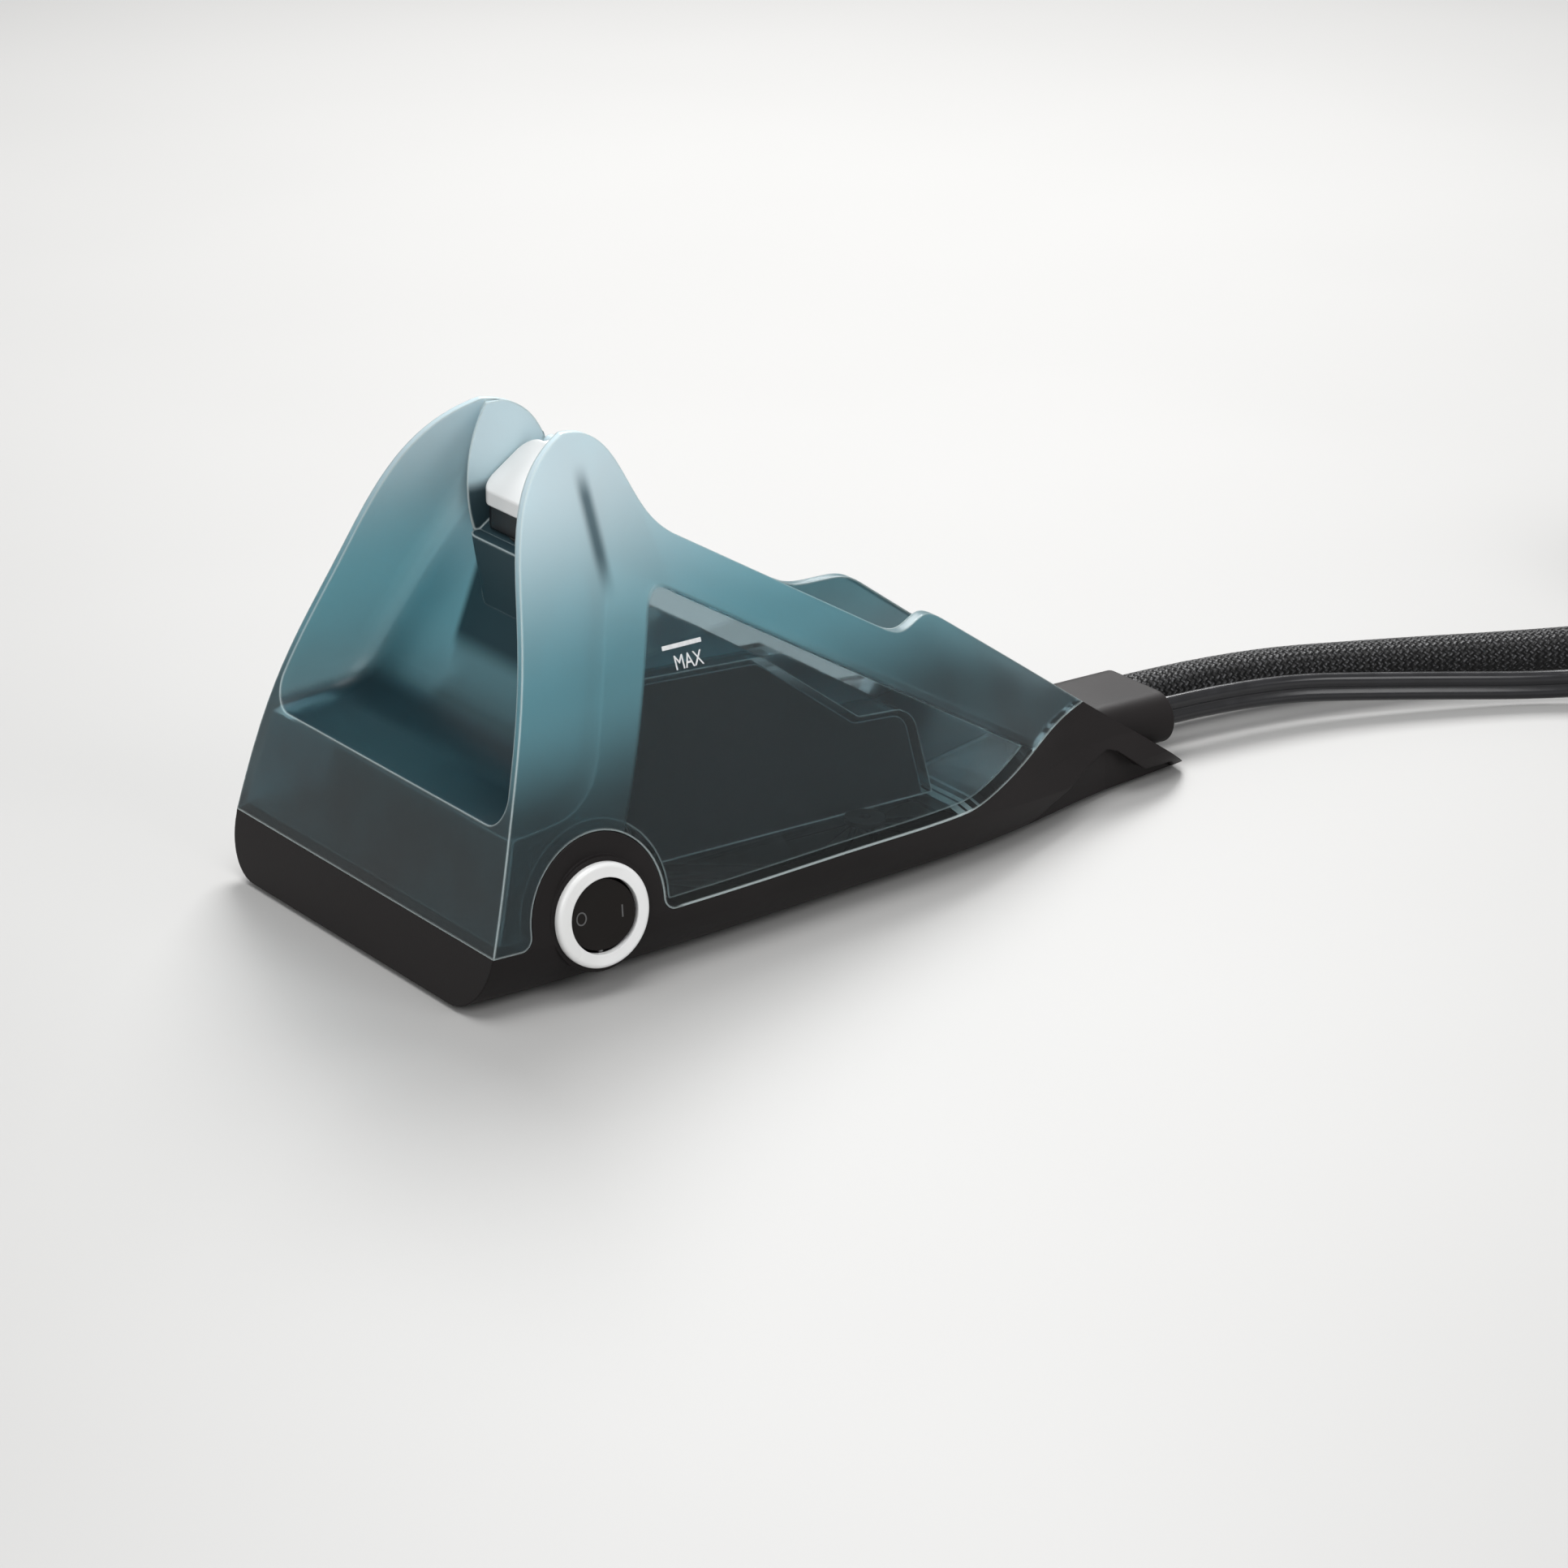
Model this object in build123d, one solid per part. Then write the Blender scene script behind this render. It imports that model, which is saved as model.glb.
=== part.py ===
"""Steam mop tank unit: charcoal base, teal water tank, switch, filler cap, boiler and cords."""
import os
from math import acos, cos, hypot, pi, radians, sin, sqrt, tan

from build123d import *

# Frame. Lengths are millimetres. "Along" is measured rearward from the front seam corner.
FRONT_TOE = -4.9             # foremost point of the base, along
BLOCK_END = 302.0            # rear face of the exit block, along
FEET_GAP = 1.5               # underside of the hull above the floor
SEAM_Z = 20.0                # seam between hull and tank
X0 = -(FRONT_TOE + BLOCK_END) / 2

# Walls and clearances
HULL_WALL = 3.0
TANK_WALL = 2.6
RIM_WALL = 4.0               # tank fins each side of the roof trough
TAIL_FIN = 8.0               # hull fins each side of the tail
GRIP_DEPTH = 5.0             # finger recess in the tail fins
SEAT_GAP = 0.3               # loose seat between neighbouring pieces
RUN_GAP = 0.05               # radial clearance of pins in their bores

# Sections of the outer form: along, lower radius, low half width, seam half width,
# middle half width and height, top half width and height
STATIONS = [
    (-12.0, 17.0, 74.7, 74.9, 66.0, 75.0, 33.0, 165.0),
    (9.0, 17.0, 75.0, 75.2, 65.0, 75.0, 29.0, 165.0),
    (30.0, 17.0, 74.6, 74.8, 63.5, 75.0, 25.0, 165.0),
    (62.0, 17.0, 72.8, 73.0, 58.5, 75.0, 19.5, 165.0),
    (100.0, 17.0, 69.8, 70.0, 51.5, 70.0, 21.0, 130.0),
    (140.0, 17.0, 65.8, 66.0, 48.0, 60.0, 22.5, 105.0),
    (185.0, 16.0, 61.0, 61.0, 46.5, 45.0, 22.5, 82.0),
    (225.0, 12.0, 50.5, 47.0, 37.5, 35.0, 23.5, 62.0),
    (262.0, 9.0, 39.0, 34.0, 29.0, 32.0, 22.0, 48.0),
    (304.0, 8.5, 31.5, 27.0, 24.0, 28.0, 19.0, 42.0),
]
WALL_LEAN = 0.5              # share of the mean wall lean at the seam

# Side silhouette, along and height
FRONT_CURVE = [(FRONT_TOE, FEET_GAP), (0.0, SEAM_Z), (11.6, 62.0), (26.3, 105.5), (43.1, 146.4),
               (60.0, 157.0)]
HORN_BACK = [(60.0, 157.0), (78.5, 147.0), (87.5, 129.0), (98.0, 119.4)]
HORN_CREST = (1.0, -0.05)    # direction of the outline over the horns
RIM_DIP = [(172.0, 75.9), (181.0, 72.3), (194.0, 73.8), (202.0, 70.5)]
TAIL_TIP = (298.0, 2.8)
RIM_SLOPE = -0.588
TAIL_SLOPE = -0.705

# Seam at the tail, roof deck and tail
SEAM_TURN = 188.0            # along, where the seam leaves the level
SEAM_END = (256.0, 33.0)     # where the seam meets the ridge
SEAM_TURN_RADIUS = 70.0
CREST_Z = 136.0              # ridge between cap pocket and roof trough
CREST_END = (84.0, 135.4)
DECK_START = (92.0, 106.6)
DECK_SLOPE = -0.585
DECK_ROUND = 5.0
TAIL_FLOOR = 2.5             # floor plate between the tail fins
NOTCH = [(210.0, -5.0), (214.0, 1.5), (227.6, 9.6), (261.0, 17.0), (265.0, 15.6), (276.0, 7.2),
         (288.6, 6.6),
         (293.0, 2.8), (296.0, -5.0)]
NOTCH_ROUND = 1.5
HOLLOW_REAR = 208.0          # rear end of the hollow under the deck
TUNNEL_HALF = 18.0           # way for tube and lead through the tail
TUNNEL_LOW = 6.0
TUNNEL_HIGH = 18.5

# Front scoop
SCOOP_LIP = (13.5, 55.4)
SCOOP_CORNER = (39.0, 58.0)
SCOOP_TOP = (75.0, 150.0)
SCOOP_CORNER_RADIUS = 20.0
SCOOP_SIDE_RADIUS = 8.0

# Filler pillar: height, half width, front face along, depth
PILLAR = [(84.0, 14.5, 53.5, 26.0), (104.0, 18.0, 53.0, 28.0), (131.0, 22.2, 52.0, 32.0),
          (156.0, 23.4, 60.0, 28.0)]
PILLAR_CORNER = 6.0

# Filler cap, seated on a sloping ledge between the horns
CAP_TILT = 35.0
CAP_HALF_WIDTH = 18.6
CAP_SEAT = (57.0, 116.5)     # front edge of the ledge
CAP_FRONT = 57.4             # front face of the cap body, along
CAP_REAR = 76.4              # rear end of the cap body, along
CAP_BODY_RISE = 8.2          # height of the body over its seal
CAP_BODY_INSET = 0.9         # body drawn in under the lid
CAP_LID_RISE = 4.6           # height of the white lid
CAP_CORNER = 6.0
CAP_EDGE = 1.2
CAP_SIDE_GAP = 0.6
POCKET_REAR = 80.5
HINGE = (80.6, 140.6)
HINGE_PIN_RADIUS = 1.25
HINGE_BARREL_RADIUS = 2.7
HINGE_BARREL_HALF = 11.0
HINGE_WEB = 3.3              # strap from lid to barrel
LUG_WIDTH = 4.0
LUG_GAP = 0.4
LUG_RADIUS = 2.8
LUG_ROOT_Z = 128.5
NECK_RADIUS = 7.0
SEAL_INNER = 8.8
SEAL_OUTER = 11.2
SEAL_LIFT = 0.15             # seal above the ledge
SEAL_TOP = 1.2               # underside of the cap body above the ledge
STRAINER_FLANGE = 8.2
STRAINER_WALL = 0.8
STRAINER_LENGTH = 18.0
STRAINER_SLOT = 2.0
STRAINER_SLOTS = 8

# Switch on the near side
SWITCH_ALONG = 38.0
SWITCH_Z = 25.5
SWITCH_FACE_Y = -74.6        # seat of the bezel
SWITCH_LEAN = 5.0
ARCH_RADIUS = 24.0
ARCH_INNER_Y = -50.0
ARCH_FLARE = 4.0
BEZEL_RADIUS = 16.2
BEZEL_BORE = 11.8
BEZEL_PROUD = 2.4
BEZEL_ROUND = 1.4
BEZEL_BOSS_RADIUS = 17.6
BEZEL_BOSS_DEPTH = 6.0
CAN_RADIUS = 13.0
CAN_DEPTH = 19.0
CAN_FLOOR = 2.0
ROCKER_RADIUS = 11.0
ROCKER_FRONT = 1.3           # rocker face before the bezel seat
ROCKER_DEPTH = 4.5           # rocker back behind the bezel seat
ROCKER_DISH = 70.0           # radius of the hollow of its face
ROCKER_DISH_DEPTH = 0.9
ROCKER_PIVOT_DEPTH = 1.6
ROCKER_REST = 7.0            # tilt either side of centre, degrees
ROCKER_PIN_RADIUS = 1.0
TERMINAL_SIZE = (6.3, 0.8, 5.0)
TERMINAL_PITCH = 9.0

# Boiler cover inside the tank and what it holds
COVER_PROFILE = [(17.0, SEAM_Z), (19.0, 50.0), (46.0, 51.5), (76.0, 75.0), (124.0, 73.0), (157.0, 48.0),
                 (176.0, 47.0),
                 (180.0, SEAM_Z)]
COVER_FOOT_HALF = 42.0
COVER_TOP_HALF = 30.0
COVER_WALL = 2.2
COVER_GAP = 0.5
COVER_ROUND = 5.0
OUTLET = (150.0, -53.0)      # tank outlet in the deck
GROMMET_RADIUS = 4.2
GROMMET_FLANGE = 6.5
GROMMET_RISE = 1.6
TUBE_RADIUS = 3.0
TUBE_BORE = 1.8
TUBE_BEND = 5.0
TUBE_HOLE = 4.0
SUCTION_RISE = (60.0, -32.0)
STEAM_DROP = (146.0, 0.0)
DECK_HOLES = [(OUTLET, GROMMET_RADIUS), (SUCTION_RISE, TUBE_HOLE), (STEAM_DROP, TUBE_HOLE)]

# Exit block
BLOCK_START = 232.0
BLOCK_HALF_WIDTH = 20.4
BLOCK_HEIGHT = 17.8
BLOCK_Z = FEET_GAP + TAIL_FLOOR
BLOCK_EDGE = 0.8
SOCKET_DEPTH = 6.0

# Bottom plate, feet and screws
PLATE_FRONT = 18.0
PLATE_REAR = 206.0
PLATE_FRONT_HALF = 44.0
PLATE_REAR_HALF = 30.0
PLATE_CORNER = 9.0
PLATE_GAP = 0.25
SCREW_SHANK = 1.5
SCREW_HEAD = 3.2
SCREW_HEAD_HEIGHT = 1.8
SCREW_LENGTH = 11.0
POST_RADIUS = 4.0
SCREW_ALONG = [26.0, 110.0, 196.0]
SCREW_INSET = 7.0
FOOT_RADIUS = 7.0
FOOT_STUB_RADIUS = 3.5
FOOT_STUB = 1.3
FRONT_FOOT = (36.0, 50.0)
REAR_FOOT = (186.0, 36.0)

# Vents in the bottom plate
VENT_ALONG = 72.0
VENT_PITCH = 8.0
VENT_WIDTH = 3.0
VENT_LENGTH = 30.0
VENT_COUNT = 6

# Boiler, thermostat, fuse and pump
BOILER_SPAN = (80.0, 130.0, 23.0)     # from, to, half width
BOILER_TOP = 50.0
BOILER_LID = 5.0
BOILER_ROUND = 5.0
BOLT_RADIUS = 3.0
BOLT_HEIGHT = 2.0
BRACKET_SHEET = 1.6
BRACKET_LIP = 4.0
BRACKET_RISE = 14.0
BRACKET_EAR = 5.5
HEATER_RADIUS = 4.0
HEATER_RISE = 9.0
HEATER_STUB = 7.0
THERMOSTAT_SPOT = (94.0, -8.0)
THERMOSTAT_RADIUS = 8.0
THERMOSTAT_HEIGHT = 7.0
TAB = (6.3, 0.8, 6.0)
FUSE_SPOT = (108.0, 11.0)
FUSE_LENGTH = 22.0
FUSE_RADIUS = 2.0
PUMP_AXIS = (38.0, 36.0)              # along, height
PUMP_COIL = 22.0
PUMP_HALF = 16.0
PUMP_ROUND = 2.0
PUMP_NECK = 23.0
PUMP_NECK_RADIUS = 5.0
PUMP_REACH = 26.0
PUMP_MOUNT = 8.0
PUMP_MOUNT_SPREAD = 10.0
TUBE_LOW = 9.0
FEED_ENTRY = 12.0
STEAM_Z = 40.0
STEAM_SHIFT = (192.0, 212.0)          # sideways step of the steam tube, along
FITTING_LENGTH = 6.0
FITTING_RADIUS = 4.6
TERMINAL_REAR = 204.0
TERMINAL_BLOCK = (14.0, 12.0)

# Hose: route points of its free stretch and coil of the rest
CORD_Z = BLOCK_Z + BLOCK_HEIGHT / 2
HOSE_RADIUS = 7.75
HOSE_SIDE = 8.0
TIE_THICK = 1.2
TIE_WIDTH = 12.0
TIE_GAP = 0.5
TIE_ROUND = 3.0
HOSE_TIE_QUARTER = 2
LEAD_TIE_QUARTER = 3
HOSE_COIL_DROP = 16.2
HOSE_COIL_PITCH = 16.4
HOSE_COIL_INNER = 48.0
HOSE_COIL_ROUNDS = 2.125
HOSE_TAIL = 44.0
HOSE_COIL_LOW = HOSE_RADIUS + TIE_GAP + TIE_THICK
HOSE_COIL_HIGH = HOSE_COIL_LOW + HOSE_COIL_DROP
HOSE_POINTS = [(BLOCK_END - SOCKET_DEPTH, HOSE_SIDE, CORD_Z), (345.0, HOSE_SIDE, CORD_Z),
               (404.0, -7.0, 9.6), (462.0, -31.5, 8.6),
               (494.0, -54.5, 13.0), (521.0, -79.5, HOSE_COIL_HIGH), (544.0, -101.5, HOSE_COIL_HIGH)]
HOSE_ROUTE = [Vector(X0 + a, y, z) for a, y, z in HOSE_POINTS]
CONNECTOR_RADIUS = 9.2
CONNECTOR_LENGTH = 38.0
CONNECTOR_NOSE = 6.4
CONNECTOR_NOSE_LENGTH = 18.0

# Mains lead: flat twin on edge, its free stretch, coil and plug
LEAD_WIDTH = 10.0
LEAD_THICK = 5.0
LEAD_SIDE = -9.5
LEAD_COIL_DROP = 10.6
LEAD_COIL_PITCH = 5.7
LEAD_COIL_INNER = 41.0
LEAD_COIL_ROUNDS = 5
LEAD_TAIL = 36.0
COIL_REST_GAP = 0.4
LEAD_COIL_LOW = HOSE_COIL_HIGH + HOSE_RADIUS + TIE_GAP + TIE_THICK + COIL_REST_GAP + LEAD_WIDTH / 2
LEAD_COIL_HIGH = LEAD_COIL_LOW + LEAD_COIL_DROP
LEAD_POINTS = [(BLOCK_END - SOCKET_DEPTH, LEAD_SIDE, CORD_Z), (344.0, LEAD_SIDE, CORD_Z),
               (394.0, -27.0, 8.6), (450.0, -56.5, 5.7),
               (478.0, -83.0, 10.0), (500.0, -106.0, 32.0), (528.0, -121.0, LEAD_COIL_HIGH),
               (566.0, -116.0, LEAD_COIL_HIGH), (612.0, -106.0, LEAD_COIL_HIGH)]
LEAD_ROUTE = [Vector(X0 + a, y, z) for a, y, z in LEAD_POINTS]
PLUG_SIZE = (25.0, 13.0, 32.0)
PLUG_TAPER = 0.7
PLUG_ROUND = 4.0
BLADE_SIZE = (6.35, 1.5, 17.0)
BLADE_PITCH = 12.7

# Limits of construction cuts, well outside the form
NEAR = -60.0
FAR = 360.0
UNDER = -40.0
SKY = 220.0
WIDE = 120.0


def at(along, y, z):
    """A point given by its distance behind the front seam corner."""
    return Vector(X0 + along, y, z)


def rounded(spots, radii):
    """Closed outline through spots; radii gives the rounding of a corner by its index."""
    count = len(spots)
    turns = []
    for i, spot in enumerate(spots):
        back = (spots[i - 1] - spot).normalized()
        ahead = (spots[(i + 1) % count] - spot).normalized()
        radius = radii.get(i, 0.0)
        half = acos(max(-1.0, min(1.0, back.dot(ahead)))) / 2
        run = radius / tan(half)
        middle = spot
        if radius:
            middle = spot + (back + ahead).normalized() * (radius / sin(half) - radius)
        turns.append((spot + back * run, middle, spot + ahead * run, radius))
    edges = []
    for i, (start, middle, end, radius) in enumerate(turns):
        edges.append(Edge.make_line(turns[i - 1][2], start))
        if radius:
            edges.append(Edge.make_three_point_arc(start, middle, end))
    return Wire(edges)


def side_outline(points, radii=None):
    """Closed side-view outline from (along, height) points."""
    return rounded([at(a, 0, z) for a, z in points], radii or {})


def prism(outline, y0=-WIDE, y1=WIDE, grow=0.0):
    """Extrude a closed side-view outline across the unit, grown outward first if asked."""
    if grow:
        outline = outline.offset_2d(grow, kind=Kind.INTERSECTION)
    solid = Solid.extrude(Face(outline), Vector(0, y1 - y0, 0))
    return Part() + solid.moved(Location((0, y0, 0)))


def block(along0, along1, y0, y1, z0, z1):
    """A plain box between two corners."""
    size = Box(along1 - along0, y1 - y0, z1 - z0)
    return Pos(X0 + (along0 + along1) / 2, (y0 + y1) / 2, (z0 + z1) / 2) * size


def rod(start, end, radius):
    """A straight round bar between two points."""
    axis = end - start
    plane = Plane(origin=start, z_dir=axis)
    return Part() + extrude(plane * Circle(radius), amount=axis.length)


def post(along, y, z0, z1, radius):
    """An upright round bar."""
    return rod(at(along, y, z0), at(along, y, z1), radius)


def section(station, margin):
    """One cross-section of the outer form, drawn in by margin."""
    along, radius, low, seam, mid, mid_z, top, top_z = station
    floor = FEET_GAP + margin
    r = radius - margin
    turn = r * sin(radians(45))
    lean = WALL_LEAN * (mid - seam) / (mid_z - SEAM_Z)

    def half(side):
        spots = [
            at(along, side * (low - margin - r), floor),
            at(along, side * (low - margin - r + turn), floor + r - turn),
            at(along, side * (low - margin), floor + r),
            at(along, side * (seam - margin), SEAM_Z),
            at(along, side * (mid - margin), mid_z),
            at(along, side * (top - margin), top_z),
        ]
        rise = Vector(0, side * lean, 1)
        crown = spots[5] - spots[4]
        arc = Edge.make_three_point_arc(*spots[:3])
        flank = Edge.make_line(spots[2], spots[3])
        wall = Edge.make_spline(spots[3:], [rise, crown])
        return spots[0], spots[5], [arc, flank, wall]

    right_low, right_top, right = half(1)
    left_low, left_top, left = half(-1)
    edges = [Edge.make_line(left_low, right_low), *right, Edge.make_line(right_top, left_top), *left]
    return Wire(edges)


def outer_form(margin=0.0):
    """The lofted outer form of hull and tank together, drawn in by margin."""
    return Part() + Solid.make_loft([section(s, margin) for s in STATIONS])


def silhouette():
    """Side outline of the whole unit."""
    def spline(points, tangents=None):
        slopes = [Vector(a, 0, z) for a, z in tangents] if tangents else None
        return Edge.make_spline([at(a, 0, z) for a, z in points], slopes)

    def lines(points):
        spots = [at(a, 0, z) for a, z in points]
        return [Edge.make_line(p, q) for p, q in zip(spots, spots[1:])]

    front = spline(FRONT_CURVE)
    back = spline(HORN_BACK, [HORN_CREST, (1, RIM_SLOPE)])
    dip = spline(RIM_DIP, [(1, RIM_SLOPE), (1, TAIL_SLOPE)])
    slope = lines([HORN_BACK[-1], RIM_DIP[0]])
    tail = lines([RIM_DIP[-1], TAIL_TIP, (TAIL_TIP[0], FEET_GAP), (FRONT_TOE, FEET_GAP)])
    return prism(Wire([front, back, *slope, dip, *tail]))


def seam_outline():
    """Everything under the seam."""
    slope = (SEAM_END[1] - SEAM_Z) / (SEAM_END[0] - SEAM_TURN)
    far = (FAR, SEAM_Z + slope * (FAR - SEAM_TURN))
    points = [(NEAR, UNDER), (NEAR, SEAM_Z), (SEAM_TURN, SEAM_Z), far, (FAR, UNDER)]
    return side_outline(points, {2: SEAM_TURN_RADIUS})


def deck_z(along):
    """Height of the roof deck."""
    return DECK_START[1] + DECK_SLOPE * (along - DECK_START[0])


def seat_z(along):
    """Height of the sloping ledge under the cap."""
    return CAP_SEAT[1] + (along - CAP_SEAT[0]) * tan(radians(CAP_TILT))


def scoop_outline():
    """Open space of the scoop."""
    slope = (SCOOP_CORNER[1] - SCOOP_LIP[1]) / (SCOOP_CORNER[0] - SCOOP_LIP[0])
    rake = (SCOOP_TOP[0] - SCOOP_CORNER[0]) / (SCOOP_TOP[1] - SCOOP_CORNER[1])
    low = (NEAR, SCOOP_LIP[1] + slope * (NEAR - SCOOP_LIP[0]))
    high = (SCOOP_CORNER[0] + rake * (SKY - SCOOP_CORNER[1]), SKY)
    return side_outline([low, SCOOP_CORNER, high, (NEAR, SKY)], {1: SCOOP_CORNER_RADIUS})


def pocket_outline():
    """Open space of the filler cap between the horns."""
    points = [(NEAR, CAP_SEAT[1]), CAP_SEAT, (POCKET_REAR, seat_z(POCKET_REAR)), (POCKET_REAR, SKY),
              (NEAR, SKY)]
    return side_outline(points)


def trough_outline():
    """Open space over the roof deck."""
    points = [(POCKET_REAR, CREST_Z), CREST_END, DECK_START, (FAR, deck_z(FAR)), (FAR, SKY),
              (POCKET_REAR, SKY)]
    return side_outline(points, {2: DECK_ROUND})


def pillar_form(margin):
    """Post under the filler cap, narrow at the foot."""
    faces = []
    for z, half, front, depth in PILLAR:
        sketch = RectangleRounded(depth - 2 * margin, 2 * (half - margin), PILLAR_CORNER - margin)
        faces.append(Pos(X0 + front + depth / 2, 0, z) * sketch)
    return Part() + loft(faces)


def arch_form(gap):
    """Arched piece of the hull round the switch, flared into the seam."""
    plane = Plane(origin=at(SWITCH_ALONG, ARCH_INNER_Y + gap, SWITCH_Z), x_dir=(1, 0, 0), z_dir=(0, -1, 0))
    drop = SEAM_Z - SWITCH_Z
    foot = Pos(0, drop - ARCH_RADIUS / 2) * Rectangle(3 * ARCH_RADIUS, ARCH_RADIUS)
    sketch = Circle(ARCH_RADIUS + gap) + foot
    reach = sqrt((ARCH_RADIUS + gap) ** 2 - drop ** 2)
    corners = [v for v in sketch.vertices() if abs(v.Y - drop) < 0.01 and abs(abs(v.X) - reach) < 0.01]
    sketch = fillet(corners, ARCH_FLARE)
    return Part() + extrude(plane * sketch, amount=WIDE)


def cover_form(grow, drop):
    """Boiler cover form, grown outward and carried down below the seam by drop."""
    points = [(COVER_PROFILE[0][0], SEAM_Z - drop), *COVER_PROFILE[1:-1],
              (COVER_PROFILE[-1][0], SEAM_Z - drop)]
    rounds = {i: COVER_ROUND for i in range(1, len(points) - 1)}
    tall = max(z for _, z in COVER_PROFILE) - SEAM_Z
    lean = (COVER_TOP_HALF - COVER_FOOT_HALF) / tall
    low = -drop - WIDE / 10
    high = tall + WIDE / 10
    corners = []
    for side, rise in ((-1, low), (1, low), (1, high), (-1, high)):
        corners.append(at(NEAR, side * (COVER_FOOT_HALF + grow + lean * rise), SEAM_Z + rise))
    wedge = Solid.extrude(Face(rounded(corners, {})), Vector(FAR - NEAR, 0, 0))
    return prism(side_outline(points, rounds), grow=grow) & (Part() + wedge)


def seat_plane(n=0.0):
    """Plane of the ledge under the middle of the cap, raised by n."""
    middle = (CAP_FRONT + CAP_REAR) / 2
    tilt = radians(CAP_TILT)
    normal = Vector(-sin(tilt), 0, cos(tilt))
    return Plane(origin=at(middle, 0, seat_z(middle)) + normal * n, x_dir=(cos(tilt), 0, sin(tilt)),
                 z_dir=normal)


def switch_plane(depth=0.0):
    """Plane of the switch face, depth measured inward."""
    lean = radians(SWITCH_LEAN)
    normal = Vector(0, -cos(lean), sin(lean))
    return Plane(origin=at(SWITCH_ALONG, SWITCH_FACE_Y, SWITCH_Z) - normal * depth, x_dir=(1, 0, 0),
                 z_dir=normal)


def disc(plane, radius, height):
    """A round bar standing on a plane."""
    return Part() + extrude(plane * Circle(radius), amount=height)


def plate_outline(z, grow=0.0):
    """Plan outline of the bottom plate."""
    front = PLATE_FRONT - grow
    rear = PLATE_REAR + grow
    wide = PLATE_FRONT_HALF + grow
    narrow = PLATE_REAR_HALF + grow
    spots = [at(front, -wide, z), at(front, wide, z), at(rear, narrow, z), at(rear, -narrow, z)]
    return rounded(spots, {i: PLATE_CORNER for i in range(4)})


def plate_form(z0, z1, grow=0.0):
    """Bottom plate solid between two heights."""
    return Part() + Solid.extrude(Face(plate_outline(z0, grow)), Vector(0, 0, z1 - z0))


def screw_spots():
    """Places of the six bottom screws."""
    spots = []
    for along in SCREW_ALONG:
        share = (along - PLATE_FRONT) / (PLATE_REAR - PLATE_FRONT)
        y = PLATE_FRONT_HALF + share * (PLATE_REAR_HALF - PLATE_FRONT_HALF) - SCREW_INSET
        spots += [(along, -y), (along, y)]
    return spots


def foot_spots():
    """Places of the four feet."""
    return [(a, side * y) for a, y in (FRONT_FOOT, REAR_FOOT) for side in (-1, 1)]


def exit_form(grow=0.0):
    """Flat-sided exit block with round edges, along the tail."""
    plane = Plane(origin=at(BLOCK_START - grow, 0, BLOCK_Z + BLOCK_HEIGHT / 2), x_dir=(0, 1, 0),
                  z_dir=(1, 0, 0))
    sketch = plane * SlotOverall(2 * (BLOCK_HALF_WIDTH + grow), BLOCK_HEIGHT + 2 * grow)
    return Part() + extrude(sketch, amount=BLOCK_END - BLOCK_START + grow)


def grip_core():
    """Upright core of the tail left between the finger recesses."""
    halves = [(s[0], s[2] - GRIP_DEPTH) for s in STATIONS if s[0] >= RIM_DIP[0][0]]
    spots = [at(a, half, UNDER) for a, half in halves] + [at(a, -half, UNDER) for a,
                                                          half in reversed(halves)]
    return Part() + Solid.extrude(Face(rounded(spots, {})), Vector(0, 0, SKY - UNDER))


def lower_region(gap):
    """Space of the hull: all under the seam and the switch arch."""
    return prism(seam_outline()) + arch_form(gap)


def make_base_hull(body):
    """Charcoal base with its deck, switch arch and tail."""
    roof = SEAM_Z - HULL_WALL
    floor = FEET_GAP + HULL_WALL
    posts = [post(along, y, UNDER, SKY, POST_RADIUS) for along, y in screw_spots()]
    room = side_outline([(HULL_WALL, UNDER), (HULL_WALL, roof), (HOLLOW_REAR, roof), (HOLLOW_REAR, UNDER)])
    foot = DECK_START[0] + (BLOCK_Z - DECK_START[1]) / DECK_SLOPE
    tail = side_outline([(SEAM_TURN, deck_z(SEAM_TURN)), (foot, BLOCK_Z), (FAR, BLOCK_Z), (FAR, SKY),
                         (SEAM_TURN, SKY)])
    cuts = [
        (outer_form(HULL_WALL) & prism(room)) - posts,
        plate_form(UNDER, floor, PLATE_GAP),
        disc(switch_plane(2 * CAN_DEPTH), CAN_RADIUS, 3 * CAN_DEPTH),
        outer_form(TAIL_FIN) & prism(tail),
        exit_form(SEAT_GAP),
        block(TERMINAL_REAR, BLOCK_START, -TUNNEL_HALF, TUNNEL_HALF, TUNNEL_LOW, TUNNEL_HIGH),
        prism(side_outline(NOTCH, {3: NOTCH_ROUND})) - grip_core(),
    ]
    cuts += [post(along, y, FEET_GAP, FEET_GAP + SCREW_LENGTH, SCREW_SHANK) for along, y in screw_spots()]
    cuts += [post(along, y, UNDER, FEET_GAP + FOOT_STUB, FOOT_STUB_RADIUS) for along, y in foot_spots()]
    cuts += [post(along, y, floor, SEAM_Z + HULL_WALL, radius) for (along, y), radius in DECK_HOLES]
    hull = body & lower_region(0.0)
    hull += disc(switch_plane(BEZEL_BOSS_DEPTH), BEZEL_BOSS_RADIUS, BEZEL_BOSS_DEPTH)
    return hull - cuts


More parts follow.
